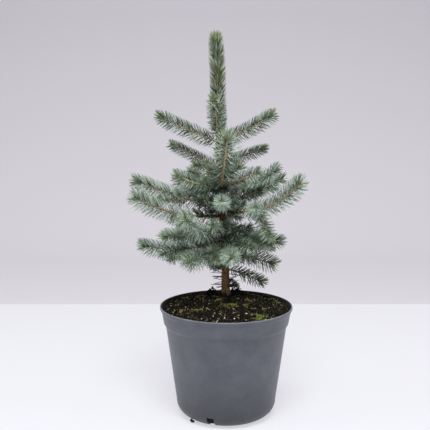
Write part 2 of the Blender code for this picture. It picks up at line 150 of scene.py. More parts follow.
# The share of the trunk's radius at which limbs start, their thickness beside a common
# shoot's, and the rise in degrees above which a limb counts as upright
INSIDE_TRUNK = 0.6
LIMB_THICKNESS = 0.9
UPRIGHT_RISE = 38
SIDE_LIFT = 8.0
SIDE_SLIMNESS = 0.86
SIDE_NEEDLE = 0.8
TWIG_SLIMNESS = 0.7
# Finer twigs: the share of the limb where they leave, their length, turn, rise and needles
FINER_PLACES = (0.10, 0.34)
FINER_LENGTHS = (0.028, 0.046)
FINER_TURNS = (40, 56)
FINER_RISES = (-14, 6)
FINER_NEEDLE = 0.82
# Twigs that end within this reach of the trunk get darker tints, painted shade
INNER_CROWN = 62.0 * MM
THICK_LIMBS = {"tier_1_front": 1.1, "tier_2_left": 1.0, "tier_3_front": 1.6, "tier_3_left": 1.25,
               "tier_3_front_right": 1.25, "tier_4_front_right": 1.3, "tier_4_front_left": 1.35}
# Limbs in front whose stems get a paler bark, painted light
LIT_PAINTED_LIMBS = ("tier_3_front", "tier_3_left", "tier_3_front_right", "tier_1_front")
DENSE_LIMBS = {"tier_1_left": 1.2, "tier_1_right": 1.2, "tier_2_left": 1.15, "tier_2_right": 1.15,
               "tier_4_front": 1.4, "tier_4_left": 1.35, "tier_4_front_right": 1.15,
               "tier_4_front_left": 1.15, "tier_4_low_left": 1.15, "tier_5_front": 1.35,
               "tier_5_left": 1.15, "tier_5_front_left": 1.2, "tier_6_right": 1.15}
NEEDLE_SCALES = {"tier_1_left": 0.93, "tier_1_right": 0.93, "tier_4_front_right": 0.88,
                 "tier_4_left": 1.12}
OPEN_LIMBS = ("tier_4_left", "tier_4_front_right", "tier_4_low_left")

# Needles: angles from the stem, sizes and number
NEEDLE_ANGLE = 64.0
NEEDLE_TIP_ANGLE = 42.0
SPREAD_ANGLES = (NEEDLE_ANGLE, NEEDLE_TIP_ANGLE)
END_ON_TIP_ANGLE = 70.0
UPRIGHT_LIMB_ANGLE = 74.0
LOWER_NEEDLE_ANGLE = 13.0
ANGLE_SPREAD = 2.0
END_ON_SPREAD = 3
TIP_SPREAD = 6
NEEDLE_TIP_STRETCH = 17.0 * MM
NEEDLE_UPWARD = 0.04
NEEDLE_WIDTH = 1.5 * MM
NEEDLE_SEAT = 0.75
FOOT_SHORTENING = 0.20
FOOT_STRETCH = 10.0 * MM
TIP_SHORTENING = 0.18
LEADER_TIP_SHORTENING = 0.08
NEEDLES_PER_METRE = 2050
TIP_CROWDING = 1.15
CROWN_ANGLES = (4.0, 30.0)
CROWN_WIDENING = 30.0
END_ON_WIDENING = 18
CROWN_NEEDLES = 17
CROWN_STRETCH = 12.0 * MM
GOLDEN_TURN = math.radians(137.508)
RING_NEEDLES = 8
RING_WINDING = math.radians(2.5)
END_ON_SLIMNESS = 0.74
BARE_FOOT = 1.0 * MM
INTERLEAVE = 7.0 * MM
FOOT_INTERLEAVE = 24.0 * MM
LEADER_FOOT = 0.2870
LEADER_NEEDLE = 17.8 * MM
LEADER_ANGLES = (50.0, 29.0)
LEADER_DENSITY = 1.9
# How far, in degrees, the needles part over the stem of a limb that shows its stem
PARTING = 2.0
PARTINGS = {"tier_1_left": 18, "tier_1_front": 26, "tier_1_right": 18, "tier_2_left": 28,
            "tier_2_right": 14, "tier_3_front": 24, "tier_3_left": 25, "tier_3_front_right": 20,
            "tier_4_right": 24, "tier_4_left": 24, "tier_4_front_right": 20,
            "tier_4_front_left": 20, "tier_5_left": 12}
# How much more than on other shoots the angles of old and low needles differ
LOOSENESS = {"dead": 24, "low": 8, "core": 4, "dim": 4}
# Limbs that have shed needles near their foot: over which length, and the share at the foot
SHED_FOOT = {"tier_4_left": 42.0 * MM, "tier_4_front_left": 40.0 * MM}
SHED_SHARE = 0.60

# Old wood: needles that stay on boughs and trunk
OLD_NEEDLE = 15.0 * MM
OLD_DENSITY = 0.55
FOOT_NEEDLE = 27.0 * MM
FOOT_NEEDLE_HEIGHTS = (0.010, 0.052)
FOOT_NEEDLE_ANGLES = (80, 72)
FOOT_DENSITY = 0.36

# Twigs on the trunk between the whorls. Single ones have a height, azimuth, rise and length
TWIG_HEIGHTS = (0.060, 0.172)
TWIG_COUNT = 17
BARE_TWIG = 7
FIRST_TWIG_AZIMUTH = 262
TWIG_LENGTHS = (30.0 * MM, 52.0 * MM)
TWIG_DENSITY = 0.8
FIFTH_TIER_TOP = 0.125
SHADED_TWIGS = (
    (0.159, 186, 0, 0.038), (0.145, 335, -18, 0.034), (0.130, 330, -24, 0.038),
    (0.118, 318, -8, 0.036), (0.110, 350, -14, 0.034), (0.100, 285, -6, 0.034),
    (0.180, 175, 10, 0.026), (0.150, 350, 12, 0.040), (0.144, 225, 6, 0.030),
    (0.178, 232, 25, 0.018), (0.178, 312, 25, 0.018), (0.153, 178, 6, 0.032),
    (0.104, 300, -20, 0.030), (0.181, 262, 4, 0.016),
)
FOOT_TWIGS = ((0.022, 350, -14, 0.020), (0.032, 330, -26, 0.018), (0.016, 10, 4, 0.016))
FOOT_TWIG_NEEDLE = 8.5 * MM

# Each limb leaves the trunk at a height above the soil. It rises at an angle that grows by
# lift along its length. Its first stretch, bare, is a bough. A fork is a side shoot, given
# by the share of the limb where it leaves, its turn sideways, its rise and its length.
Limb = namedtuple("Limb", "name height azimuth rise lift length bare needle forks")

LIMBS = (
    Limb("tier_1_left", 0.264, 192, 22, 3, 0.106, 0, 0.0205, ()),
    Limb("tier_1_front", 0.273, 265, 42, -9, 0.100, 0, 0.0175, ()),
    Limb("tier_1_right", 0.266, 345, 18, 15, 0.100, 0, 0.0205, ()),
    Limb("tier_1_back", 0.275, 88, 32, 4, 0.092, 0, 0.0165, ()),

    Limb("tier_2_left", 0.222, 162, 23, 2, 0.094, 0, 0.0145, ()),
    Limb("tier_2_front_left", 0.218, 218, 10, 2, 0.050, 0, 0.0155, ()),
    Limb("tier_2_right", 0.227, 18, 19, -3, 0.086, 0, 0.0145, ()),
    Limb("tier_2_back", 0.228, 86, 25, 4, 0.082, 0, 0.0160, ()),

    Limb("tier_3_front", 0.187, 278, 40, 15, 0.115, 0, 0.0285, ()),
    Limb("tier_3_left", 0.183, 205, 13, 12, 0.083, 0, 0.0190, ()),
    Limb("tier_3_front_right", 0.188, 330, 20, 2, 0.077, 0, 0.0185, ()),
    Limb("tier_3_right", 0.182, 28, -6, 47, 0.120, 0, 0.0180, ()),
    Limb("tier_3_back_left", 0.190, 128, 12, 6, 0.085, 0, 0.0180, ()),
    Limb("tier_3_back", 0.182, 78, 18, 4, 0.100, 0, 0.0180, ()),

    Limb("tier_4_right", 0.156, 8, 22, 3, 0.114, 0.034, 0.0185, ()),
    Limb("tier_4_left", 0.153, 172, 11, 11, 0.155, 0.034, 0.0190, ((0.38, 40, -4, 0.049),)),
    Limb("tier_4_front", 0.158, 270, 10.5, 0, 0.085, 0, 0.0190, ()),
    Limb("tier_4_front_right", 0.149, 332, -10, 61, 0.157, 0.036, 0.0260,
         ((0.34, -56, 11, 0.056), (0.44, -45, -38, 0.062))),
    Limb("tier_4_front_left", 0.140, 196, -5, 37, 0.156, 0.036, 0.0230, ()),
    Limb("tier_4_low_left", 0.104, 237, 5, 30, 0.125, 0, 0.0235, ()),
    Limb("tier_4_low_front", 0.114, 255, 14, 0, 0.075, 0, 0.0190, ()),
    Limb("tier_4_back_right", 0.150, 45, 20, 4, 0.128, 0.040, 0.0195, ((0.42, -38, 12, 0.060),)),
    Limb("tier_4_back", 0.140, 92, 10, 6, 0.128, 0.040, 0.0195, ((0.42, 40, 6, 0.060),)),
    Limb("tier_4_back_left", 0.145, 134, 20, 6, 0.126, 0.040, 0.0195, ((0.44, -38, 12, 0.058),)),

    Limb("tier_5_left", 0.098, 186, -22, 38, 0.141, 0.040, 0.0200, ((0.48, 40, -6, 0.056),)),
    Limb("tier_5_upper_left", 0.111, 203, -1, 0, 0.107, 0, 0.0200, ()),
    Limb("tier_5_front_left", 0.083, 236, -5, 2, 0.105, 0, 0.0235, ((0.42, -34, -8, 0.050),)),
    Limb("tier_5_low_front", 0.092, 250, -6, 0, 0.060, 0, 0.0190, ()),
    Limb("tier_5_front", 0.085, 276, -4, 9, 0.100, 0, 0.0225, ()),
    Limb("tier_5_front_right", 0.096, 307, -1, 0, 0.070, 0, 0.0190, ()),
    Limb("tier_5_low_right", 0.083, 345, -18, 6, 0.088, 0, 0.0215, ()),
    Limb("tier_5_right", 0.101, 350, -3, 2, 0.095, 0, 0.0200, ((0.50, -38, -8, 0.046),)),
    Limb("tier_5_right_back", 0.093, 20, -9, 2, 0.086, 0, 0.0190, ()),
    Limb("tier_5_back_right", 0.097, 58, -6, 6, 0.118, 0.036, 0.0200, ((0.45, -36, -4, 0.052),)),
    Limb("tier_5_back", 0.087, 100, -8, 8, 0.118, 0.036, 0.0200, ((0.45, 38, -6, 0.054),)),
    Limb("tier_5_back_left", 0.101, 143, -8, 10, 0.126, 0.036, 0.0200, ((0.45, -34, -6, 0.054),)),

    Limb("tier_6_right", 0.048, 345, -13, -8, 0.068, 0, 0.0165, ()),
    Limb("tier_6_left", 0.043, 192, 42, -10, 0.034, 0, 0.0170, ()),
    Limb("tier_6_back", 0.052, 112, -6, -10, 0.062, 0, 0.0120, ()),
)

random = np.random.default_rng(11)
soil_random = np.random.default_rng(5)


# Arrays

def unit(vectors):
    """Vectors brought to length 1."""
    return vectors / np.linalg.norm(vectors, axis=-1, keepdims=True)


def around(turn):
    """Level directions at turns in radians, as pairs."""
    return np.stack([np.cos(turn), np.sin(turn)], -1)


def turns(sides):
    """Turns in radians that are spread evenly round a circle."""
    return np.arange(sides) * 2 * math.pi / sides


def waves(points, size, seed, count=20):
    """A smooth random field: the mean of many sine waves of one wavelength whose directions
    and phases are drawn at random, scaled so that it mostly lies between -1 and 1."""
    draw = np.random.default_rng(seed)
    ways = unit(draw.normal(size=(count, 3)))
    ways *= 2 * math.pi / size * draw.uniform(0.75, 1.3, (count, 1))
    phases = draw.uniform(0, 2 * math.pi, count)
    return np.sin(points @ ways.T + phases).sum(-1) / math.sqrt(count / 2) / 1.6


def ring_faces(rings, sides):
    """Four-cornered faces between rings of points that follow each other."""
    low = np.arange(rings - 1)[:, None] * sides
    side = np.arange(sides)
    after = (side + 1) % sides
    high = low + sides
    return np.stack([low + side, low + after, high + after, high + side], -1).reshape(-1, 4)


def end_faces(rings, sides):
    """Triangles that close the first and the last of many rings. Each closes to a point of its
    own, and these two points follow the rings."""
    side = np.arange(sides)
    after = (side + 1) % sides
    last = (rings - 1) * sides
    point = np.full(sides, rings * sides)
    return np.vstack([np.stack([after, side, point], 1),
                      np.stack([last + side, last + after, point + 1], 1)])


def turned(profile, sides):
    """Points of a profile of (radius, height) pairs turned about the upright axis."""
    turn = turns(sides)
    radius, height = np.asarray(profile)[:, :1], np.asarray(profile)[:, 1:]
    return np.stack([radius * np.cos(turn), radius * np.sin(turn), height + 0 * turn], -1)


def distances(path):
    """How far each point of a path lies along it from its start."""
    return np.concatenate([[0], np.cumsum(np.linalg.norm(np.diff(path, axis=0), axis=1))])


def points_along(path, far):
    """Points at given distances along a path."""
    travelled = distances(path)
    return np.stack([np.interp(far, travelled, path[:, k]) for k in range(3)], -1)


def frames(path):
    """At each point of a path: the way along it, the way sideways and the way up from it."""
    along = unit(np.gradient(path, axis=0))
    reference = (0, 0, 1) if abs(along[0, 2]) < 0.9 else (0, 1, 0)
    sideways = unit(np.cross(reference, along))
    return along, sideways, np.cross(along, sideways)


def tube_arrays(path, radii, sides):
    """Points and faces of a closed tube: rings round a path, and a point at each end."""
    _, sideways, upward = frames(path)
    turn = turns(sides)[None, :, None]
    spoke = np.cos(turn) * sideways[:, None] + np.sin(turn) * upward[:, None]
    rings = (path[:, None] + spoke * radii[..., None]).reshape(-1, 3)
    points = np.vstack([rings, path[:1], path[-1:]])
    return points, ring_faces(len(path), sides), end_faces(len(path), sides)


def join_arrays(parts):
    """Joins lists of points, four-cornered faces and triangles into one set of arrays."""
    points, quads, triangles = zip(*parts)
    starts = np.concatenate([[0], np.cumsum([len(p) for p in points])[:-1]])
    return (np.vstack(points), np.vstack([q + s for q, s in zip(quads, starts)]),
            np.vstack([t + s for t, s in zip(triangles, starts)]))


def checkered(rings, sides, even, odd):
    """Shares of the radius that alternate from side to side and from ring to ring."""
    return np.where(np.add.outer(np.arange(rings), np.arange(sides)) % 2 == 0, even, odd)


# Scene objects

def linked(name, data):
    """A new object in the scene."""
    new = bpy.data.objects.new(name, data)
    bpy.context.scene.collection.objects.link(new)
    return new


def new_piece(name, points, faces, materials, which=None, smooth=True):
    """A piece from an array of points and a list of arrays of faces, all computed before."""
    mesh = bpy.data.meshes.new(name)
    loops = np.concatenate([part.ravel() for part in faces]).astype(np.int32)
    sizes = np.concatenate([np.full(len(part), part.shape[1]) for part in faces])
    starts = np.concatenate([[0], np.cumsum(sizes)[:-1]]).astype(np.int32)
    mesh.vertices.add(len(points))
    mesh.vertices.foreach_set("co", np.asarray(points, np.float32).ravel())
    mesh.loops.add(len(loops))
    mesh.loops.foreach_set("vertex_index", loops)
    mesh.polygons.add(len(sizes))
    mesh.polygons.foreach_set("loop_start", starts)
    for material in materials:
        mesh.materials.append(material)
    if which is not None:
        mesh.polygons.foreach_set("material_index", np.asarray(which, np.int32))
    mesh.update(calc_edges=True)
    mesh.validate()
    if smooth:
        mesh.shade_smooth()
    else:
        mesh.shade_flat()
    return linked(name, mesh)


def belongs(piece, slot, *nodes):
    """The piece rides on the plant's one body and stands for nodes. The slot is not used."""
    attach(piece, "root")
    if nodes:
        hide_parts(*nodes)


def tube_piece(name, parts, materials, *nodes, which=None):
    """A piece of bark, joined from the arrays of closed tubes."""
    points, quads, triangles = join_arrays(parts)
    belongs(new_piece(name, points, [quads, triangles], materials, which), "bark", *nodes)


# Material parts

def linear(hex_colour):
    """An sRGB hex colour as linear red, green, blue and alpha."""
    parts = [int(hex_colour[k:k + 2], 16) / 255 for k in (1, 3, 5)]
    return tuple(p / 12.92 if p <= 0.04045 else ((p + 0.055) / 1.055) ** 2.4 for p in parts) + (1.0,)


def add_node(tree, kind, settings=(), links=()):
    """Adds a node. Settings are attributes or, for input sockets, names or numbers with
    values. Links run from another node's output socket to an input socket of this one."""
    node = tree.nodes.new(kind)
    for name, value in dict(settings).items():
        if isinstance(name, int) or name in node.inputs:
            node.inputs[name].default_value = value
        else:
            setattr(node, name, value)
    for name, source in dict(links).items():
        tree.links.new(source, node.inputs[name])
    return node


def new_material(name, colour, roughness, **settings):
    """A Principled material with plain sockets, and its shader and tree to build on."""
    material = bpy.data.materials.new(name)
    material.use_nodes = True
    shader = material.node_tree.nodes["Principled BSDF"]
    shader.inputs["Base Color"].default_value = linear(colour)
    shader.inputs["Roughness"].default_value = roughness
    for socket, value in settings.items():
        shader.inputs[socket.replace("_", " ")].default_value = value
    return material, shader, material.node_tree


def plain_materials(tints, **settings):
    """Materials of one colour each. Every tint has a name, a colour and a roughness."""
    return [new_material(*tint, **settings)[0] for tint in tints]


def object_place(tree):
    """The place on the object."""
    return add_node(tree, "ShaderNodeTexCoord").outputs["Object"]


def height_of(tree, place):
    """The height of a place."""
    return add_node(tree, "ShaderNodeSeparateXYZ", {}, {"Vector": place}).outputs["Z"]


def noise(tree, place, size, detail, roughness=0.5):
    """Clouds of noise of a size, with octaves of finer ones in them."""
    settings = {"Scale": 1 / size, "Detail": detail, "Roughness": roughness}
    return add_node(tree, "ShaderNodeTexNoise", settings, {"Vector": place}).outputs["Fac"]


def share_between(tree, value, low, high, top=1.0):
    """A share that grows from 0 to its top while a value goes from low to high."""
    settings = {"From Min": low, "From Max": high, "To Max": top}
    return add_node(tree, "ShaderNodeMapRange", settings, {"Value": value}).outputs["Result"]


def product(tree, first, second):
    """Two values multiplied."""
    links = {0: first, 1: second}
    return add_node(tree, "ShaderNodeMath", {"operation": "MULTIPLY"}, links).outputs[0]


def ramp(tree, value, *stops):
    """A colour that follows a value between two stops, each a value and a colour."""
    node = add_node(tree, "ShaderNodeValToRGB", {}, {"Fac": value})
    for element, (place, colour) in zip(node.color_ramp.elements, stops):
        element.position = place
        element.color = linear(colour)
    return node.outputs["Color"]


def mix(tree, share, first, second):
    """A colour that goes from the first, a socket, to the second as a share grows."""
    settings = {"data_type": "RGBA", 7: linear(second)}
    return add_node(tree, "ShaderNodeMix", settings, {"Factor": share, 6: first}).outputs[2]


def dress(tree, shader, colour, height, strength, depth):
    """Gives a shader its colour, and fine relief from a height."""
    tree.links.new(colour, shader.inputs["Base Color"])
    settings = {"Strength": strength, "Distance": depth}
    bump = add_node(tree, "ShaderNodeBump", settings, {"Height": height})
    tree.links.new(bump.outputs["Normal"], shader.inputs["Normal"])


# Materials

def bark_material(name, dark, light, roughness, grain):
    """Thin spruce bark: grey-brown scales over darker cracks, which break up the light. Just
    above the soil the bark is darkened with painted shade."""
    material, shader, tree = new_material(name, light, roughness)
    place = object_place(tree)
    scales = add_node(tree, "ShaderNodeTexVoronoi", {"Scale": 1 / grain}, {"Vector": place})
    cracks = product(tree, scales.outputs["Distance"], noise(tree, place, 2.5 * grain, 4.0))
    colour = ramp(tree, cracks, (0.08, dark), (0.42, light))
    # Painted shade: the bark darkens towards the soil
    foot_shade = share_between(tree, height_of(tree, place), GROUND + SHADED_BARK_REACH, GROUND, 0.8)
    dress(tree, shader, mix(tree, foot_shade, colour, "#1d1c12"), cracks, 0.5, grain * 0.3)
    return material


def pot_material():
    """Injection-moulded polypropylene, satin grey: a fine moulded grain dulls its highlight,
    rubbing has lightened it in clouds, wet peat has left a brown bloom near its foot, painted
    shade darkens its lower wall, and the rim's edge is worn pale."""
    material, shader, tree = new_material("injection_moulded_polypropylene", "#6f727c", 0.42, IOR=1.49)
    place = object_place(tree)
    height = height_of(tree, place)
    clouds = noise(tree, place, POT_CLOUDS, 9.0, 0.72)
    tone = ramp(tree, clouds, (0.35, "#4e5159"), (0.70, "#5f626b"))
    spots = noise(tree, place, POT_SPOTS, 6.0, 0.7)
    foot = share_between(tree, height, STAINED_BELOW, 5 * MM)
    stain = product(tree, foot, share_between(tree, spots, 0.48, 0.75))
    stained = mix(tree, stain, tone, "#40392e")
    # Painted shade: the wall is darkened towards its foot
    shade_painted_low = mix(tree, share_between(tree, height, SHADE_PAINTED_BELOW, 0.0, 0.75), stained, "#2e2f32")
    edge = share_between(tree, height, POT_HEIGHT - WORN_EDGE, POT_HEIGHT - WORN_EDGE + 1 * MM)
    worn = mix(tree, product(tree, edge, spots), shade_painted_low, "#85888d")
    dress(tree, shader, worn, noise(tree, place, MOULDED_GRAIN, 2.0), 0.18, 0.15 * MM)
    return material


def peat_material():
    """Moist peat: near black where it is wet and open, brown on the drier crumbs."""
    material, shader, tree = new_material("moist_peat", "#232119", 0.92, Specular_IOR_Level=0.2)
    fine = noise(tree, object_place(tree), PEAT_GRAIN, 6.0, 0.7)
    dress(tree, shader, ramp(tree, fine, (0.40, "#060504"), (0.72, "#1d1a12")), fine, 0.8, 1 * MM)
    return material


# Pot

def foot_arc(inset, steps):
    """The foot's rounding from the underside up to the wall, as (radius, height) pairs."""
    middle = FOOT_TOP_RADIUS - FOOT_ROUNDING
    radius = FOOT_ROUNDING - inset
    angles = np.linspace(0, math.pi / 2, steps)
    return [(middle + radius * math.sin(a), FOOT_ROUNDING - radius * math.cos(a)) for a in angles]


def rounded(profile, radius, steps=5):
    """A profile whose corners are replaced by arcs: near each corner the points follow the
    curve whose control points are the corner and a point on each of its two sides."""
    profile = [np.array(p, float) for p in profile]
    out = [profile[0]]
    for before, corner, after in zip(profile, profile[1:], profile[2:]):
        start, end = [corner + unit(other - corner) * min(radius, np.linalg.norm(other - corner) * 0.45)
                      for other in (before, after)]
        for t in np.linspace(0, 1, steps):
            out.append((1 - t) ** 2 * start + 2 * t * (1 - t) * corner + t ** 2 * end)
    return out + [profile[-1]]


def inner_face(height):
    """The radius of the pot's inner face at a height on its band."""
    foot = BAND_FOOT_RADIUS - WALL
    share = (height - BAND_FOOT_HEIGHT) / (POT_HEIGHT - BAND_FOOT_HEIGHT)
    return foot + (RIM_INNER_RADIUS - foot) * share


def make_pot():
    """The pot's wall and floor, turned, with the drainage notches cut through its foot."""
    upper = rounded([
        (FOOT_TOP_RADIUS + 0.2 * MM, FOOT_ROUNDING + 2 * MM),
        (SHOULDER_RADIUS, SHOULDER_HEIGHT),
        (BAND_FOOT_RADIUS, BAND_FOOT_HEIGHT),
        (BAND_TOP_RADIUS, POT_HEIGHT - RIM_BEAD_DEPTH),
        (RIM_RADIUS, POT_HEIGHT - RIM_FACE_DEPTH),
        (RIM_RADIUS, POT_HEIGHT),
        (RIM_INNER_RADIUS + RIM_FLAT, POT_HEIGHT),
        (RIM_INNER_RADIUS, POT_HEIGHT - RIM_CHAMFER),
        (inner_face(POT_HEIGHT - LIP_DEPTH), POT_HEIGHT - LIP_DEPTH),
        (BAND_FOOT_RADIUS - WALL, BAND_FOOT_HEIGHT),
        (SHOULDER_RADIUS - WALL, SHOULDER_HEIGHT),
        (FOOT_TOP_RADIUS - WALL, FOOT_ROUNDING + 2 * MM),
    ], EDGE_ROUNDING)
    profile = foot_arc(0, 14) + [tuple(p) for p in upper] + foot_arc(WALL, 12)[::-1]
    points = np.vstack([turned(profile, POT_SIDES).reshape(-1, 3), [[0, 0, 0], [0, 0, WALL]]])
    faces = [ring_faces(len(profile), POT_SIDES), end_faces(len(profile), POT_SIDES)]
    rim_edge = RIM_INNER_RADIUS + RIM_FLAT + 0.2 * MM
    first_inner = max(k for k, p in enumerate(profile) if p[0] > rim_edge)
    inside = [k > first_inner for k in range(len(profile) - 1)] + [False, True]
    # The wall's inner face is dark: partly stained by wet peat that has lain against it, partly painted shade
    inner_wall = new_material("pot_wall_stained_by_peat", "#12100c", 0.9)[0]
    which = np.repeat(inside, POT_SIDES)
    pot = new_piece("nursery_pot", points, faces, [pot_material(), inner_wall], which)
    cut_notches(pot)
    pot.data.set_sharp_from_angle(angle=math.radians(40))
    belongs(pot, "pot", "pot")


def cut_notches(pot):
    """Takes the drainage notches out of the pot's foot, as pairs of upright blocks. A block's
    corners lie at two reaches outward, half the width to each side, below and above the foot."""
    inner = FOOT_TOP_RADIUS - FOOT_ROUNDING - 4 * MM
    outer = FOOT_TOP_RADIUS + 10 * MM
    outward = around(np.radians(np.add.outer(NOTCH_PAIRS, (0, NOTCH_STEP)).ravel()))[:, None]
    across = outward[..., ::-1] * (-1, 1) * NOTCH_WIDTH / 2
    reach = np.array([inner, outer, outer, inner])[:, None]
    side = np.array([-1, -1, 1, 1])[:, None]
    height = np.tile([LOW_NOTCH, TALL_NOTCH], len(NOTCH_PAIRS))
    points = np.zeros((len(outward), 2, 4, 3))
    points[..., :2] = (outward * reach + across * side)[:, None]
    points[..., 2] = height[:, None, None] * np.array([[-1], [1]])
    block = np.vstack([ring_faces(2, 4), [[3, 2, 1, 0], [4, 5, 6, 7]]])
    faces = (block + np.arange(len(outward))[:, None, None] * 8).reshape(-1, 4)
    wall = pot.data.materials[0]
    cutter = new_piece("notch_cutter", points.reshape(-1, 3), [faces], [wall], smooth=False)
    cut = pot.modifiers.new("notches", "BOOLEAN")
    cut.object = cutter
    cut.operation = "DIFFERENCE"
    cut.solver = "EXACT"
    graph = bpy.context.evaluated_depsgraph_get()
    mesh = bpy.data.meshes.new_from_object(pot.evaluated_get(graph))
    pot.modifiers.clear()
    pot.data = mesh
    bpy.data.objects.remove(cutter, do_unlink=True)


# Soil

# Clods heaped against the trunk's foot: place from its middle, and radius
FOOT_CLODS = np.array([(-13, -3, 3.4), (-17, 1, 3.0), (-11, 4, 3.6), (-21, -2, 2.4), (13, 2, 3.2),
                       (15, -3, 2.6), (11, 5, 3.8), (-14, 8, 3.4), (16, 7, 3.0), (4, 13, 3.6),
                       (-5, 13, 3.4), (20, 2, 2.2)]) * MM
# Pale chips of wood in one place
CHIP_PLACE = np.array([-75.0, -31.0]) * MM
CHIP_SPREAD = np.array([5.0, 4.0]) * MM
CHIP_COUNT = 26
# Heaps of crumbs beside the trunk: place from its middle, spread and height. Each has a share
# of the crumbs
HEAPS = np.array([(-25, 6, 7.0, 17), (14, 4, 4.5, 14), (24, 6, 5.0, 12), (-10, 4, 4.0, 8)]) * MM
HEAP_SHARES = np.array([1.9, 1.2, 1.2, 0.5])
HEAP_COUNT = 480
# Crumbs are dark where wet and brown where dry, with pale fibres and green films among them
PEAT_TINTS = (
    ("wet_peat", "#050403", 0.9),
    ("dark_peat", "#110f0b", 0.9),
    ("brown_peat", "#3a3023", 0.9),
    ("dry_peat_fibre", "#8d7a5a", 0.9),
    ("mossy_peat", "#4b4a22", 0.9),
)
PEAT_SHARES = (0.57, 0.22, 0.09, 0.025, 0.095)
CHIP_TINT = 3
DARKER_TINTS = 3
LARGE_PERLITE = np.array([(31.8, -66.7), (-3.9, -81.5), (-22.1, -71.6), (-26.8, -79.9),
                          (12.0, -84.0)]) * MM

# Moss: where each cushion lies on the plan, its radius, and which of the tints it has
MOSS_CUSHIONS = (
    (0.0565, -0.0690, 0.0125, 0), (0.0480, -0.0770, 0.0070, 0), (-0.0540, -0.0400, 0.0075, 1),
    (-0.0440, -0.0420, 0.0060, 1), (-0.0010, -0.0330, 0.0090, 2), (0.0110, -0.0310, 0.0080, 1),
    (0.0325, -0.0300, 0.0065, 0), (0.0370, -0.0050, 0.0060, 2), (0.0880, 0.0300, 0.0090, 2),
    (0.0800, 0.0420, 0.0070, 1), (-0.0140, -0.0080, 0.0090, 2), (-0.0460, 0.0250, 0.0090, 2),
    (-0.0820, 0.0050, 0.0080, 2), (-0.0660, 0.0480, 0.0090, 1), (-0.0180, 0.0740, 0.0120, 1),
    (0.0500, 0.0700, 0.0120, 0),
)
# Moist moss is soft and bright, and browner or darker where it is old or shaded
MOSS_TINTS = (
    ("moss_green", "#627629", 0.8),
    ("moss_yellow_green", "#808038", 0.8),
    ("moss_olive", "#7d6f2a", 0.8),
    ("moss_shaded", "#3c4a1f", 0.8),
)
MOSS_PER_AREA = 1.15e6
# Fallen needles are dull, tan when fresh and brown or grey when old
LITTER_TINTS = (
    ("fallen_needle_tan", "#9c8a62", 0.7),
    ("fallen_needle_brown", "#4b3d29", 0.75),
    ("fallen_needle_grey", "#7c745c", 0.75),
)


def soil_height(share):
    """Height of the soil at a share of the way from the trunk's foot to the pot's wall."""
    rise = 0.5 + 0.5 * np.cos(math.pi * np.clip(share, 0, 1))
    return SOIL_EDGE + (GROUND - SOIL_EDGE) * rise ** MOUND_POWER


def soil_at(points):
    """Heights of the soil's lumpy surface over points on the plan. The share of the way to
    the wall is found by sliding the circles' centres from the trunk's foot to the middle."""
    share = np.zeros(len(points))
    for _ in range(12):
        radius = np.linalg.norm(points - FOOT_PLACE * (1 - share)[:, None], axis=1)
        share = np.clip((radius - SEAT_RADIUS) / (inner_face(SOIL_EDGE) - SEAT_RADIUS), 0, 1)
    flat = np.column_stack([points, np.zeros(len(points))])
    lumps = sum(height * waves(flat, size * MM, seed) for height, size, seed in SOIL_LUMPS) * MM
    calm = np.clip((np.linalg.norm(points - FOOT_PLACE, axis=1) - 8 * MM) / (8 * MM), 0.15, 1)
    return soil_height(share) + lumps * calm


def make_soil():
    """The body of peat: it follows the pot's inner face up from the floor, and its lumpy top
    is rings of points that close in from the wall to the trunk."""
    rings, sides = 110, 300
    inset = WALL + SOIL_CLEARANCE
    side = foot_arc(inset, 8) + [(SHOULDER_RADIUS - inset, SHOULDER_HEIGHT),
                                 (BAND_FOOT_RADIUS - inset, BAND_FOOT_HEIGHT)]
    share = np.linspace(0, 1, rings)[::-1]
    radius = 2 * MM + (inner_face(SOIL_EDGE) - SOIL_CLEARANCE - 2 * MM) * share
    centre = FOOT_PLACE[None] * (1 - share)[:, None]
    plan = (centre[:, None] + radius[:, None, None] * around(turns(sides))).reshape(-1, 2)
    points = np.vstack([turned(side, sides).reshape(-1, 3), np.column_stack([plan, soil_at(plan)]),
                        [[0, 0, inset], [*FOOT_PLACE, GROUND]]])
    count = len(side) + rings
    faces = [ring_faces(count, sides), end_faces(count, sides)]
    belongs(new_piece("peat_surface", points, faces, [peat_material()]), "soil", "soil")


def random_places(count, reach=1.0):
    """Places on the plan of the soil, evenly spread over its area, inside the pot's wall."""
    radius = (inner_face(SOIL_EDGE) - 3 * MM) * reach * np.sqrt(soil_random.uniform(0, 1, count))
    away = radius[:, None] * around(soil_random.uniform(0, 2 * math.pi, count)) - FOOT_PLACE
    gap = np.maximum(np.linalg.norm(away, axis=1, keepdims=True), 0.1 * MM)
    return FOOT_PLACE + away / gap * np.maximum(gap, TRUNK_RADIUS + 3 * MM)


def random_turns(count):
    """Random rotation matrices: two random vectors made square to each other, and a third."""
    first, second = soil_random.normal(size=(2, count, 3))
    first = unit(first)
    second = unit(second - (second * first).sum(1, keepdims=True) * first)
    return np.stack([first, second, np.cross(first, second)], -1)


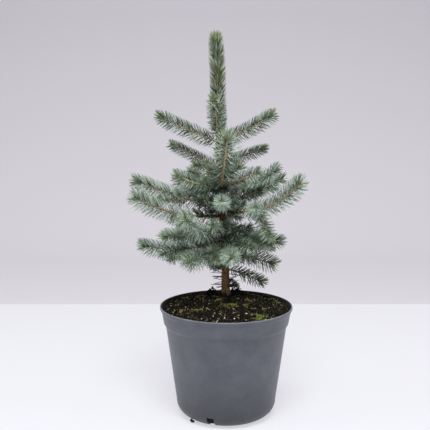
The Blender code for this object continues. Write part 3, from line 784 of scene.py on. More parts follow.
def lump_arrays(places, sizes, flatness=0.75):
    """Irregular lumps: each is the twelve points of an icosahedron, moved in or out at random,
    squeezed along three random axes and set on its place. Rows are lumps."""
    long = (1 + math.sqrt(5)) / 2
    corners = unit(np.array([(-1, long, 0), (1, long, 0), (-1, -long, 0), (1, -long, 0),
                             (0, -1, long), (0, 1, long), (0, -1, -long), (0, 1, -long),
                             (long, 0, -1), (long, 0, 1), (-long, 0, -1), (-long, 0, 1)]))
    faces = np.array([(0, 11, 5), (0, 5, 1), (0, 1, 7), (0, 7, 10), (0, 10, 11), (1, 5, 9), (5, 11, 4),
                      (11, 10, 2), (10, 7, 6), (7, 1, 8), (3, 9, 4), (3, 4, 2), (3, 2, 6), (3, 6, 8),
                      (3, 8, 9), (4, 9, 5), (2, 4, 11), (6, 2, 10), (8, 6, 7), (9, 8, 1)])
    count = len(places)
    shapes = corners[None] * soil_random.uniform(0.7, 1.25, (count, 12, 1))
    squeeze = [np.ones(count), soil_random.uniform(0.6, 1, count),
               soil_random.uniform(flatness - 0.2, flatness, count)]
    shapes *= np.stack(squeeze, -1)[:, None]
    shapes = np.einsum("nij,nkj->nki", random_turns(count), shapes)
    points = places[:, None] + shapes * sizes[:, None, None]
    faces = faces[None] + (np.arange(count) * 12)[:, None, None]
    return points.reshape(-1, 3), faces.reshape(-1, 3)


def make_lumps(name, places, sizes, flatness, *tint):
    """A piece of loose lumps of one tint. None of their points lies below the pot's foot."""
    points, faces = lump_arrays(places, sizes, flatness)
    points[:, 2] = np.maximum(points[:, 2], 0.1 * MM)
    belongs(new_piece(name, points, [faces], plain_materials([tint]), smooth=False), "soil")


def make_crumbs():
    """Loose peat: thousands of crumbs over the soil, with chips of wood among them, and
    larger clods and heaps round the trunk. Each group has places, sizes and a lift."""
    crumbs = random_places(CRUMB_COUNT)
    low, high = CRUMB_SIZES
    crumb_sizes = low + (high - low) * soil_random.uniform(0, 1, CRUMB_COUNT) ** 2.4
    clod_way = around(soil_random.uniform(0, 2 * math.pi, CLOD_COUNT))
    clods = FOOT_PLACE + (soil_random.uniform(*CLOD_REACH, CLOD_COUNT) * MM)[:, None] * clod_way
    clod_sizes = soil_random.uniform(*CLOD_SIZES, CLOD_COUNT) * MM
    chips = CHIP_PLACE + soil_random.normal(0, 1, (CHIP_COUNT, 2)) * CHIP_SPREAD
    chip_sizes = soil_random.uniform(*CHIP_SIZES, CHIP_COUNT) * MM
    heap = HEAPS[soil_random.choice(len(HEAPS), HEAP_COUNT, p=HEAP_SHARES / HEAP_SHARES.sum())]
    away = soil_random.normal(0, 1, (HEAP_COUNT, 2))
    heaped = FOOT_PLACE + heap[:, :2] + away * heap[:, 2:3] * np.array([1, 0.6])
    heaped_sizes = soil_random.uniform(*HEAPED_SIZES, HEAP_COUNT) * MM
    heaped_lift = heap[:, 3] * np.exp(-(away ** 2).sum(1) / 2) * soil_random.uniform(0, 1, HEAP_COUNT)
    groups = ((crumbs, crumb_sizes, crumb_sizes * 0.25), (clods, clod_sizes, clod_sizes * 0.7),
              (chips, chip_sizes, chip_sizes * 0.5),
              (FOOT_PLACE + FOOT_CLODS[:, :2], FOOT_CLODS[:, 2], FOOT_CLODS[:, 2] * 0.8),
              (heaped, heaped_sizes, heaped_lift))
    plan, sizes, lift = [np.concatenate(part) for part in zip(*groups)]
    points, faces = lump_arrays(np.column_stack([plan, soil_at(plan) + lift]), sizes)
    which = soil_random.choice(len(PEAT_TINTS), len(sizes), p=PEAT_SHARES)
    which[CRUMB_COUNT:] %= DARKER_TINTS
    first_chip = CRUMB_COUNT + CLOD_COUNT
    which[first_chip:first_chip + CHIP_COUNT] = CHIP_TINT
    tints = plain_materials(PEAT_TINTS, Specular_IOR_Level=0.2)
    which = np.repeat(which, len(faces) // len(sizes))
    belongs(new_piece("peat_crumbs", points, [faces], tints, which, smooth=False), "soil")


def make_notch_peat():
    """Dark lumps of peat and root that have come out at the low drainage notches."""
    places, sizes = [], []
    for start, size in zip(NOTCH_PAIRS, (3.0, 1.9, 2.4)):
        outward = around(math.radians(start))
        middle = np.append(outward * (73.0 + 1.5 * size) * MM, size * 1.2 * MM)
        across = np.array([-outward[1], outward[0], 0])
        places.append(middle + across * np.linspace(-0.8, 0.8, 5)[:, None] * size * MM
                      + soil_random.normal(0, 0.4 * MM, (5, 3)))
        sizes.append(soil_random.uniform(0.7, 1.0, 5) * size * MM)
    make_lumps("notch_peat", np.vstack(places), np.concatenate(sizes), 0.9,
               "root_bound_peat", "#1a1712", 0.9)


def make_perlite():
    """Expanded perlite: white popped grains, a few larger ones near the pot's front edge."""
    plan = np.vstack([random_places(PERLITE_COUNT), LARGE_PERLITE])
    sizes = soil_random.uniform(*PERLITE_SIZES, PERLITE_COUNT)
    sizes = np.append(sizes, np.full(len(LARGE_PERLITE), 1.5)) * MM
    places = np.column_stack([plan, soil_at(plan) + sizes * 0.8])
    make_lumps("perlite_grains", places, sizes, 0.95, "expanded_perlite", "#dcd9cd", 0.85)


def make_moss():
    """Cushion moss: each cushion is hundreds of short leafy spikes that lean out from its
    middle, thick and tall there and thin at its edge."""
    sets, which = [], []
    for x, y, radius, tint in MOSS_CUSHIONS:
        count = round(MOSS_PER_AREA * radius ** 2 * math.pi)
        far = radius * soil_random.uniform(0, 1, count) ** 0.62
        turn = soil_random.uniform(0, 2 * math.pi, count)
        ragged = 1 + 0.28 * np.sin(3 * turn + x * 900) + 0.16 * np.sin(7 * turn + y * 700)
        plan = np.array([x, y]) + around(turn) * (far * ragged)[:, None]
        beyond = np.linalg.norm(plan, axis=1, keepdims=True) / (inner_face(POT_HEIGHT) - 4 * MM)
        plan /= np.maximum(beyond, 1)
        roots = np.column_stack([plan, soil_at(plan) - 0.3 * MM])
        ways = np.column_stack([around(turn) * (far / radius)[:, None], np.full(count, 1.0)])
        ways = unit(ways + soil_random.normal(0, 0.35, (count, 3)))
        bends = unit(np.cross(ways, soil_random.normal(size=(count, 3))))
        lengths = soil_random.uniform(*MOSS_LENGTHS, count) * MM * (1.1 - 0.55 * far / radius)
        widths = soil_random.uniform(*MOSS_WIDTHS, count) * MM
        sets.append((roots, ways, bends, lengths, widths))
        which.append(soil_random.choice([tint, 3, 1], count, p=(0.62, 0.22, 0.16)))
    belongs(join_needles("moss_cushions", sets, which, plain_materials(MOSS_TINTS)), "soil")


def make_litter():
    """Dry needles that lie on the peat, from just above it at one end to just above it at the
    other. Those that would reach the pot's wall are left out."""
    plan = random_places(LITTER_COUNT, 0.97)
    level = around(soil_random.uniform(0, 2 * math.pi, LITTER_COUNT))
    ways = unit(np.column_stack([level, soil_random.normal(0, 0.10, LITTER_COUNT)]))
    roots = np.column_stack([plan, soil_at(plan) + 1.3 * MM])
    bends = unit(np.cross(ways, (0, 0, 1.0)))
    lengths = soil_random.uniform(*LITTER_LENGTHS, LITTER_COUNT) * MM
    ends = roots + ways * lengths[:, None]
    inside = np.linalg.norm(ends[:, :2], axis=1) < inner_face(SOIL_EDGE) - 1 * MM
    ends[:, 2] = soil_at(ends[:, :2]) + 1.0 * MM
    widths = soil_random.uniform(*LITTER_WIDTHS, LITTER_COUNT) * MM
    parts = [part[inside] for part in (roots, unit(ends - roots), bends, lengths, widths)]
    which = soil_random.choice(3, int(inside.sum()), p=(0.45, 0.33, 0.22))
    litter = join_needles("fallen_needles", [parts], [which], plain_materials(LITTER_TINTS))
    belongs(litter, "soil")


# Trunk and limbs

def trunk_middle(height):
    """The trunk's middle at heights above the soil: a lean with one slow sway."""
    height = np.asarray(height, float)
    sway = SWAY * np.sin(2 * math.pi * (height - SWAY_START) / SWAY_LENGTH)
    start = SWAY * math.sin(2 * math.pi * -SWAY_START / SWAY_LENGTH)
    across = FOOT_PLACE[0] - LEAN * height + sway - start
    return np.stack([across, np.full_like(height, FOOT_PLACE[1]), GROUND + height], -1)


def trunk_radius(height):
    """The trunk's radius: it narrows faster towards the tip, and flares at the root."""
    height = np.asarray(height, float)
    share = np.clip(1 - height / TREE_HEIGHT, 0, 1)
    wood = TIP_RADIUS + (TRUNK_RADIUS - TIP_RADIUS) * share ** TAPER_POWER
    return wood + FLARE * np.exp(-np.maximum(height, 0) / FLARE_FADE)


def limb_path(start, azimuth, rise, lift, length, step):
    """Points along a limb: each short step is taken at the limb's azimuth and, counted from
    the level, at its rise plus the share of its lift that it has reached."""
    steps = max(3, round(length / step))
    share = (np.arange(steps) + 0.5) / steps
    climb = np.radians(rise + lift * share)
    turn = math.radians(azimuth)
    level = np.cos(climb)
    moves = np.stack([level * math.cos(turn), level * math.sin(turn), np.sin(climb)], 1)
    return np.vstack([start, start + np.cumsum(moves * length / steps, 0)])


# Shoots

Shoot = namedtuple("Shoot", "owner tier path radii needle tint bare angles density",
                   defaults=(0, SPREAD_ANGLES, 1.0))

# How the tints of needles are shared on a shoot, in the order of NEEDLE_TINTS. The dark
# shares of inner and shaded twigs are painted shade, one a little less dark for the lit side
TINT_SHARES = {
    "rosette": (0.68, 0.20, 0.11, 0.01, 0.00, 0.00, 0.00),
    "pale": (0.41, 0.28, 0.26, 0.05, 0.00, 0.00, 0.00),
    "blue": (0.42, 0.29, 0.24, 0.05, 0.00, 0.00, 0.00),
    "upper": (0.20, 0.23, 0.30, 0.21, 0.02, 0.00, 0.04),
    "green": (0.22, 0.30, 0.36, 0.08, 0.00, 0.00, 0.04),
    "old": (0.02, 0.06, 0.24, 0.64, 0.00, 0.04, 0.00),
    "leader": (0.12, 0.13, 0.18, 0.22, 0.35, 0.00, 0.00),
    "core": (0.04, 0.14, 0.34, 0.48, 0.00, 0.00, 0.00),
    "dim": (0.24, 0.34, 0.28, 0.14, 0.00, 0.00, 0.00),
    "low": (0.08, 0.22, 0.40, 0.20, 0.07, 0.03, 0.00),
    "dead": (0.00, 0.00, 0.00, 0.82, 0.00, 0.18, 0.00),
    "shaded": (0.00, 0.02, 0.14, 0.74, 0.00, 0.10, 0.00),
}
TIER_TINTS = {1: "upper", 2: "upper", 3: "blue", 4: "blue", 5: "blue", 6: "low"}
ROSETTE_LIMBS = ("tier_4_front", "tier_5_front")
PALE_LIMBS = ("tier_3_front", "tier_3_left", "tier_3_front_right", "tier_4_low_front",
              "tier_4_low_left", "tier_4_back", "tier_5_front_left", "tier_5_low_front",
              "tier_5_back_left")
GREEN_LIMBS = ("tier_3_right", "tier_3_back", "tier_4_back_left", "tier_5_right_back",
               "tier_5_back_right", "tier_5_right", "tier_5_front_right")
BLOOMED_FORKS = ("tier_4_front_right",)
FRESH_TIPPED = ("pale", "blue", "green", "upper", "rosette")
NEEDLE_TINTS = (
    ("spruce_needle_bloom_light", "#aebfad", 0.50),
    ("spruce_needle_blue", "#88998a", 0.48),
    ("spruce_needle_blue_green", "#6b7d6b", 0.46),
    ("spruce_needle_old_green", "#3b4739", 0.45),
    ("spruce_needle_leader_green", "#757e46", 0.42),
    ("spruce_needle_dry", "#8a7048", 0.60),
    ("spruce_needle_fresh_green", "#75855f", 0.42),
)
LEADER_TINT = 4
FRESH_TINT = 6
# The darker tint, painted shade, that each needle's foot has, in the same order
SHADED_FOOT_TINTS = (1, 2, 3, 3, 3, 3, 6)


def tint_of(name):
    """The name of the tint shares of a limb's main shoot."""
    for tint, names in (("rosette", ROSETTE_LIMBS), ("pale", PALE_LIMBS), ("green", GREEN_LIMBS)):
        if name in names:
            return tint
    return TIER_TINTS[tier_of(name)]


def tier_of(name):
    """The number of a limb's tier, counted from the top."""
    return int(name.split("_")[1])


def core_tint(height, azimuth):
    """Tints of a twig on the trunk, dark as painted shade, less dark on the right of the fourth tier."""
    right = math.cos(math.radians(azimuth)) > 0.3
    return "dim" if right and 0.132 < height < 0.170 else "core"


def stem_radii(path, slimness):
    """Radii of a shoot's stem, which narrows evenly."""
    return np.linspace(SHOOT_RADIUS, SHOOT_TIP_RADIUS, len(path)) * slimness


def side_shoot(owner, tier, root, azimuth, rise, length, slimness, *looks):
    """A short shoot that lifts a little. Its looks are a Shoot's last values, from needle on."""
    path = limb_path(root, azimuth, rise, SIDE_LIFT, length, 2 * MM)
    return Shoot(owner, tier, path, stem_radii(path, slimness), *looks)


def trunk_shoot(owner, tier, low, high, *looks):
    """The trunk between two heights, as a shoot."""
    heights = np.arange(low, high, 2 * MM)
    return Shoot(owner, tier, trunk_middle(heights), trunk_radius(heights), *looks)


def limb_shoots(limb):
    """A limb's bare bough, if it has one, and its shoots: the main one and its forks."""
    start = trunk_middle(limb.height)
    path = limb_path(start, limb.azimuth, limb.rise, limb.lift, limb.length, SHOOT_STEP)
    total = distances(path)[-1]
    trunk = float(trunk_radius(limb.height))
    tier = tier_of(limb.name)
    foot = trunk * INSIDE_TRUNK
    bare = foot + BARE_FOOT
    bough = None
    if limb.bare:
        bough = points_along(path, np.linspace(foot, limb.bare + trunk, 24))
        foot = limb.bare + trunk - 1 * MM
        bare = BARE_FOOT
    leafy = points_along(path, np.linspace(foot, total, round(total / (2 * MM))))
    angles = (UPRIGHT_LIMB_ANGLE if limb.rise > UPRIGHT_RISE else NEEDLE_ANGLE, NEEDLE_TIP_ANGLE)
    radii = stem_radii(leafy, THICK_LIMBS.get(limb.name, LIMB_THICKNESS))
    shoots = [Shoot(limb.name, tier, leafy, radii, limb.needle, tint_of(limb.name), bare, angles,
                    DENSE_LIMBS.get(limb.name, 1.0))]
    for share, turn, rise, length in limb.forks:
        tint = "green" if rise < -20 else "blue"
        if limb.name in BLOOMED_FORKS and rise > 0:
            tint = "rosette"
        root = path[round(share * (len(path) - 1))]
        shoots.append(side_shoot(limb.name, tier, root, limb.azimuth + turn, rise, length, SIDE_SLIMNESS,
                                 limb.needle * SIDE_NEEDLE, tint, BARE_FOOT, angles))
    return bough, shoots


def finer_twigs(limb, main):
    """Short twigs that fill the crown, on both sides of a limb's main shoot near its foot."""
    if main.tier not in (3, 4, 5) or limb.length < 0.08 or limb.name in OPEN_LIMBS:
        return []
    twigs = []
    for side in (-1, 1):
        root = points_along(main.path, random.uniform(*FINER_PLACES) * distances(main.path)[-1])
        length = random.uniform(*FINER_LENGTHS)
        azimuth = limb.azimuth + side * random.uniform(*FINER_TURNS)
        rise = limb.rise + random.uniform(*FINER_RISES)
        twig = side_shoot(limb.name, main.tier, root, azimuth, rise, length, TWIG_SLIMNESS,
                          limb.needle * FINER_NEEDLE, "green", BARE_FOOT,
                          (NEEDLE_ANGLE - 6, NEEDLE_TIP_ANGLE), 0.75)
        # Twigs inside the crown get darker tints as painted shade, those on the lit side of the front limb
        # less dark
        if main.tier > 3 and np.linalg.norm(twig.path[-1, :2] - FOOT_PLACE) <= INNER_CROWN:
            lit = limb.name == "tier_4_front" and side > 0
            twig = twig._replace(tint="dim" if lit else "core")
        twigs.append(twig)
    return twigs


def trunk_twigs():
    """Short shaded twigs that grow from the trunk between the whorls: some a golden turn
    apart, single ones that close the crown, and small ones at the foot."""
    rows = []
    for count, height in enumerate(np.linspace(*TWIG_HEIGHTS, TWIG_COUNT)):
        if count != BARE_TWIG:
            azimuth = FIRST_TWIG_AZIMUTH + math.degrees(GOLDEN_TURN) * count
            length = random.uniform(*TWIG_LENGTHS)
            rise = random.uniform(4, 24)
            rows.append((height, azimuth, rise, length, 0.75, random.uniform(15, 18) * MM))
    rows += [row + (TWIG_SLIMNESS, OLD_NEEDLE) for row in SHADED_TWIGS]
    looks = (TRUNK_RADIUS, SPREAD_ANGLES)
    twigs = [side_shoot("core", 4 if height > FIFTH_TIER_TOP else 5, trunk_middle(height), azimuth, rise,
                        length, slimness, needle, core_tint(height, azimuth), *looks, TWIG_DENSITY)
             for height, azimuth, rise, length, slimness, needle in rows]
    return twigs + [side_shoot("foot", 6, trunk_middle(height), *row, 0.5, FOOT_TWIG_NEEDLE, "shaded",
                               *looks, OLD_DENSITY) for height, *row in FOOT_TWIGS]


def old_wood(boughs):
    """The stretches of bough and trunk that still carry needles, shorter and darker ones,
    and apart from them the few needles at the trunk's foot."""
    angles = (NEEDLE_ANGLE, NEEDLE_ANGLE - 8)
    wood = []
    for name, path in boughs.items():
        radii = np.linspace(BOUGH_FOOT_RADIUS, SHOOT_RADIUS, len(path))
        wood.append(Shoot(name, tier_of(name), path, radii, OLD_NEEDLE, "old", TRUNK_RADIUS, angles,
                          OLD_DENSITY))
    wood.append(trunk_shoot("core", 4, 0.050, LEADER_FOOT, OLD_NEEDLE * 0.9, "old", 0, angles,
                            OLD_DENSITY * 0.8))
    # The trunk between the third and fourth tiers takes the darker tints of painted shade
    wood.append(trunk_shoot("core", 4, 0.150, 0.205, OLD_NEEDLE, "core", 0, angles, 0.7))
    return wood, trunk_shoot("foot", 6, *FOOT_NEEDLE_HEIGHTS, FOOT_NEEDLE, "dead", 0,
                             FOOT_NEEDLE_ANGLES, FOOT_DENSITY)


class Space:
    """The room of each mass: no further across the middle towards another mass's stems than
    its needles interleave, and clear of the trunk and the boughs."""

    def __init__(self, shoots, limbs):
        owners = sorted({shoot.owner for shoot in shoots})
        self.number = {name: k for k, name in enumerate(owners)}
        self.points = np.vstack([shoot.path[::3] for shoot in shoots])
        self.tags = np.repeat([self.number[shoot.owner] for shoot in shoots],
                              [len(shoot.path[::3]) for shoot in shoots])
        self.limb_points = np.vstack([path for path, radii in limbs])
        self.limb_radii = np.concatenate([radii for path, radii in limbs])

    def holds(self, owner, roots, tips):
        """Which needles of a mass lie in its room, from their roots to their tips."""
        fits = np.ones(len(roots), bool)
        mine = self.tags == self.number[owner]
        interleave = FOOT_INTERLEAVE if owner == "foot" else INTERLEAVE
        for share in (0.4, 0.7, 1.0):
            points = (roots + (tips - roots) * share)[:, None]
            far = np.linalg.norm(points - self.points[None], axis=2)
            others = far[:, ~mine].min(1)
            fits &= (others - far[:, mine].min(1) > -interleave) & (others > 1.5 * MM)
            clear = np.linalg.norm(points - self.limb_points[None], axis=2) - self.limb_radii
            fits &= clear.min(1) > 0.4 * MM
        return fits


def end_on(shoot):
    """Whether a shoot points to the front or the back, and so shows its needles as a star."""
    way = unit(shoot.path[-1] - shoot.path[0])
    return abs(way[2]) < 0.5 and abs(way[1]) > 0.8 * np.linalg.norm(way[:2])


def needle_places(shoot, total):
    """How far along the stem each needle stands, its turn round it, and whether it stands in
    the crown round the bud. Most shoots carry rings of eight needles, each ring turned half a
    step from the last. The leader, old wood and shoots seen from their end carry a spiral of
    golden turns. Dry needles at the foot lean to two sides."""
    length = total - shoot.bare
    count = max(4, round(length * NEEDLES_PER_METRE * shoot.density))
    number = np.arange(count)
    if shoot.tint in ("leader", "old", "dead") or end_on(shoot):
        share = (number + 0.5 + random.normal(0, 0.35, count)) / count
        turn = number * GOLDEN_TURN + random.normal(0, 0.06, count)
    else:
        ring = number // RING_NEEDLES
        share = (ring + 0.5 + random.normal(0, 0.07, count)) * RING_NEEDLES / count
        turn = (number % RING_NEEDLES + 0.5 * (ring % 2)) * 2 * math.pi / RING_NEEDLES
        turn = turn + random.uniform(0, 1) + ring * RING_WINDING + random.normal(0, 0.07, count)
    if shoot.tint == "dead":
        turn = random.normal(0, 0.8, count) + math.pi * (number % 3 > 0)
    crown = 0 if shoot.tint in ("old", "dead") else CROWN_NEEDLES * (1 + end_on(shoot))
    share = np.clip(share, 0, 1)
    share = share if crown == 0 else 1 - (1 - share) ** TIP_CROWDING
    far = np.append(shoot.bare + share * length, total - CROWN_STRETCH * random.uniform(0, 1, crown))
    return far, np.append(turn, np.arange(crown) * GOLDEN_TURN), np.arange(count + crown) >= count


def parted(shoot, turn, along, sideways, upward):
    """Turns drawn apart on the side of a shoot that faces outward at the front or the back,
    where its stem shows between the rows of needles."""
    if shoot.tint in ("leader", "old", "dead") or end_on(shoot):
        return turn
    outward = np.array([0, 1.0 if shoot.path[-1, 1] > FOOT_PLACE[1] + 40 * MM else -1.0, 0.0])
    middle = np.arctan2(upward @ outward, sideways @ outward)
    away = (turn - middle + math.pi) % (2 * math.pi) - math.pi
    gap = math.radians(PARTINGS.get(shoot.owner, PARTING)) * (1 - (along @ outward) ** 2)
    return middle + np.where(away < 0, -1, 1) * (gap + (1 - gap / math.pi) * np.abs(away))


def needle_set(shoot, space):
    """Needles of a shoot, as arrays: roots, ways, bends, lengths, widths and how near the tip
    they stand. Each leans forward from the stem, more so near its end, and bends a little
    upward. Needles that would leave the mass's room are dropped."""
    travelled = distances(shoot.path)
    total = travelled[-1]
    far, turn, crown = needle_places(shoot, total)
    count = len(far)
    along, sideways, upward = [np.stack([np.interp(far, travelled, way[:, k]) for k in range(3)], -1)
                               for way in frames(shoot.path)]
    turn = parted(shoot, turn, along, sideways, upward)
    spoke = unit(np.cos(turn)[:, None] * sideways + np.sin(turn)[:, None] * upward)
    radius = np.interp(far, travelled, shoot.radii)
    roots = points_along(shoot.path, far) + spoke * (radius * NEEDLE_SEAT)[:, None]
    near_tip = np.clip(1 - (total - far) / NEEDLE_TIP_STRETCH, 0, 1) ** 1.5
    star = end_on(shoot)

    spread = ANGLE_SPREAD + END_ON_SPREAD * star + TIP_SPREAD * near_tip + LOOSENESS.get(shoot.tint, 0)
    spread = random.normal(0, 1, count) * spread
    tip_angle = END_ON_TIP_ANGLE if star else shoot.angles[1]
    lean = np.interp(near_tip, (0, 1), (shoot.angles[0], tip_angle))
    lean = lean - LOWER_NEEDLE_ANGLE * spoke[:, 2] + spread
    ahead = random.uniform(*CROWN_ANGLES, count)
    ahead = ahead + CROWN_WIDENING * (total - far) / CROWN_STRETCH + END_ON_WIDENING * star
    angle = np.radians(np.where(crown, ahead, lean))
    ways = np.cos(angle)[:, None] * along + np.sin(angle)[:, None] * spoke
    ways[:, 2] += NEEDLE_UPWARD * np.sin(angle)
    ways = unit(ways)

    lengths = shoot.needle * NEEDLE_SCALES.get(shoot.owner, 1)
    lengths = lengths * random.uniform(0.94 - 0.10 * star, 1.04, count)
    lengths *= 1 - FOOT_SHORTENING + FOOT_SHORTENING * np.clip((far - shoot.bare) / FOOT_STRETCH, 0, 1)
    lengths *= 1 - (LEADER_TIP_SHORTENING if shoot.owner == "leader" else TIP_SHORTENING) * near_tip
    if shoot.tint == "dead":
        lengths *= random.uniform(0.65, 1, count)
    bends = along * 0.7 + np.array([0, 0, 0.7])
    bends = unit(bends - (bends * ways).sum(1, keepdims=True) * ways)
    fits = space.holds(shoot.owner, roots, roots + ways * lengths[:, None])
    if shoot.owner in SHED_FOOT:
        shed = SHED_SHARE * (1 - np.clip((far - shoot.bare) / SHED_FOOT[shoot.owner], 0, 1))
        fits &= random.uniform(0, 1, count) > shed
    widths = NEEDLE_WIDTH * random.uniform(0.9, 1.08, count) * (END_ON_SLIMNESS if star else 1)
    return [part[fits] for part in (roots, ways, bends, lengths, widths, near_tip)]


NEEDLE_STATIONS = np.array([0.0, 0.30, 0.76])
NEEDLE_FULLNESS = np.array([0.70, 1.0, 0.80])
NEEDLE_CURVE = 0.11


def needle_points(roots, ways, bends, lengths, widths):
    """Points of many needles at once. A needle is four-sided: rings of four points stand on a
    middle line that leaves its straight way by a share of the distance squared, and they
    narrow to a point. Rows are needles, and each has three rings and a tip."""
    sideways = np.cross(ways, bends)
    share = NEEDLE_STATIONS[None, :, None]
    line = (roots[:, None] + ways[:, None] * share * lengths[:, None, None]
            + bends[:, None] * NEEDLE_CURVE * share ** 2 * lengths[:, None, None])
    half = widths[:, None, None] / 2 * NEEDLE_FULLNESS[None, :, None]
    corners = np.stack([line + bends[:, None] * half * 0.85, line + sideways[:, None] * half,
                        line - bends[:, None] * half * 0.85, line - sideways[:, None] * half], 2)
    tips = roots + (ways + bends * NEEDLE_CURVE) * lengths[:, None]
    return np.concatenate([corners.reshape(-1, 12, 3), tips[:, None]], 1)


def join_needles(name, sets, tints, materials, shaded_feet=None):
    """One piece from many sets of needles. Tints say which material each needle has, and
    the shaded feet which darker one, painted shade, its lowest row of sides and its root
    have. A needle's faces are two rows of sides, a closed root and four triangles to the tip."""
    points = needle_points(*[np.concatenate([s[k] for s in sets]) for k in range(5)])
    start = (np.arange(len(points)) * 13)[:, None, None]
    sides = np.vstack([ring_faces(3, 4)[:, ::-1], [[0, 1, 2, 3]]])
    tip = np.array([[8 + k, 12, 8 + (k + 1) % 4] for k in range(4)])
    faces = [(sides[None] + start).reshape(-1, 4), (tip[None] + start).reshape(-1, 3)]
    tint = np.concatenate(tints)
    foot = tint if shaded_feet is None else np.asarray(shaded_feet)[tint]
    rows = np.stack([foot] * 4 + [tint] * 4 + [foot], 1)
    which = np.concatenate([rows.ravel(), np.repeat(tint, 4)])
    return new_piece(name, points.reshape(-1, 3), faces, materials, which, smooth=False)


# Bark

def bark_relief(points, size, seed):
    """Relief of thin bark at points: scales that break along the stem, in shares of 1."""
    plates = waves(points * np.array([1, 1, 0.45]), size, seed)
    return 0.6 * np.sign(plates) * np.abs(plates) ** 0.5 + 0.4 * waves(points, size * 0.35, seed + 1)


def make_trunk(bark):
    """The trunk with its bark's relief and the ribs of its roots: rings round its middle whose
    radii add the relief and, near the foot, a wave of five ribs."""
    sides = 56
    heights = np.concatenate([[-1.5 * MM], np.arange(0, TREE_HEIGHT, 1.1 * MM)])
    path = trunk_middle(heights)
    path[:, 2] = np.minimum(path[:, 2], GROUND + TREE_HEIGHT)
    radii = np.repeat(trunk_radius(heights)[:, None], sides, 1)
    smooth = tube_arrays(path, radii, sides)[0][:-2]
    relief = bark_relief(smooth, 4.5 * MM, 21).reshape(len(path), sides)
    depth = np.interp(heights, (0, 0.15, TREE_HEIGHT), (0.45, 0.32, 0.12)) * MM
    ribs = 1.0 * MM * np.exp(-np.maximum(heights, 0) / (7 * MM))
    radii = radii + relief * depth[:, None] + ribs[:, None] * np.cos(5 * turns(sides) + 0.6)[None]
    tube_piece("trunk_bark", [tube_arrays(path, radii, sides)], [bark], "trunk")


def make_boughs(boughs, bark):
    """The bare boughs with finer bark, each from inside the trunk to its shoot."""
    rings, sides = 48, 18
    radii = np.repeat(np.linspace(BOUGH_FOOT_RADIUS, SHOOT_RADIUS * 1.1, rings)[:, None], sides, 1)
    parts = []
    for path in boughs.values():
        fine = points_along(path, np.linspace(0, distances(path)[-1], rings))
        smooth = tube_arrays(fine, radii, sides)[0][:-2]
        relief = bark_relief(smooth, 3.0 * MM, 31).reshape(rings, sides) * 0.22 * MM
        parts.append(tube_arrays(fine, radii + relief, sides))
    tube_piece("bough_bark", parts, [bark], *[name + "_bough" for name in boughs])


def make_twigs(shoots, barks):
    """The shoots' own stems, rough with the pegs that the needles stand on. The barks are the
    common one and a paler copy of it, painted light, for the lit shoots in front."""
    sides = 8
    shoots = [shoot for shoot in shoots if shoot.owner != "leader"]
    parts = []
    for shoot in shoots:
        total = distances(shoot.path)[-1]
        rings = max(6, round(total / (1.7 * MM)))
        radii = np.linspace(shoot.radii[0], shoot.radii[-1], rings) * (0.6 if end_on(shoot) else 1)
        path = points_along(shoot.path, np.linspace(0, total, rings))
        parts.append(tube_arrays(path, radii[:, None] * checkered(rings, sides, 1.10, 0.94), sides))
    pale = [shoot.owner in LIT_PAINTED_LIMBS for shoot in shoots]
    which = [np.repeat(pale, [len(part[k]) for part in parts]) for k in (1, 2)]
    tube_piece("shoot_stems", parts, barks, which=np.concatenate(which))


def make_buds(shoots, material):
    """A bud at each shoot's end: an egg shape with rows of scales that stand off it."""
    rows, sides = 9, 10
    share = np.linspace(0, 1, rows)
    parts = []
    for shoot in shoots:
        along = unit(shoot.path[-1] - shoot.path[-3])
        size = random.uniform(0.75, 1.0) * min(1, shoot.radii[-1] / (1.1 * MM))
        size *= 0.7 if end_on(shoot) else 1
        path = shoot.path[-1] - along * 1 * MM + along * share[:, None] * 6.0 * MM * size
        radii = 2.1 * MM * size * np.sin(math.pi * np.clip(share * 0.86 + 0.12, 0, 1)) ** 0.8
        parts.append(tube_arrays(path, radii[:, None] * checkered(rows, sides, 1, 1.10), sides))
    tube_piece("buds", parts, [material])


# Foliage

def piece_of(shoot, limbs):
    """The name of the piece that a shoot's needles go into."""
    if shoot.owner == "leader":
        return "needles_leader"
    if shoot.owner in ("core", "foot"):
        return f"needles_core_{shoot.tier}"
    if shoot.tier not in (4, 5):
        return f"needles_tier_{shoot.tier}"
    azimuth = limbs[shoot.owner].azimuth
    side = "back" if 30 < azimuth < 150 else ("left" if azimuth < 240 else "right")
    return f"needles_tier_{shoot.tier}_{side}"


def tints_for(shoot, near_tip):
    """Deals tints to a shoot's needles. Young outer shoots are pale with bloom, shaded ones get
    darker tints as painted shade, low ones are darker, and the last needles round a bud are
    greener."""
    tints = random.choice(len(NEEDLE_TINTS), len(near_tip), p=TINT_SHARES[shoot.tint])
    if shoot.tint in FRESH_TIPPED:
        share = 0.55 * np.clip(near_tip * 1.6 - 0.5, 0, 1) * (shoot.tint != "rosette")
        tints = np.where(random.uniform(0, 1, len(near_tip)) < share, FRESH_TINT, tints)
    if shoot.tint == "leader":
        tints = np.where(random.uniform(0, 1, len(near_tip)) < 0.7 * near_tip, LEADER_TINT, tints)
    return tints


def make_needles(shoots, limbs, space):
    """All the needles, joined by tier and side. They are waxy: the bloom on them lightens
    their blue-green and softens their gloss. Their colours are plain, dealt out one by one."""
    materials = plain_materials(NEEDLE_TINTS, IOR=1.45, Specular_IOR_Level=0.4)
    groups = {}
    for shoot in shoots:
        needles = needle_set(shoot, space)
        if len(needles[0]):
            groups.setdefault(piece_of(shoot, limbs), []).append((shoot, needles))
    for name, members in sorted(groups.items()):
        tints = [tints_for(shoot, needles[5]) for shoot, needles in members]
        piece = join_needles(name, [needles for shoot, needles in members], tints, materials, SHADED_FOOT_TINTS)
        owners = sorted({shoot.owner for shoot, needles in members} - {"core", "foot"})
        belongs(piece, "needles", *[owner + "_spray" for owner in owners])


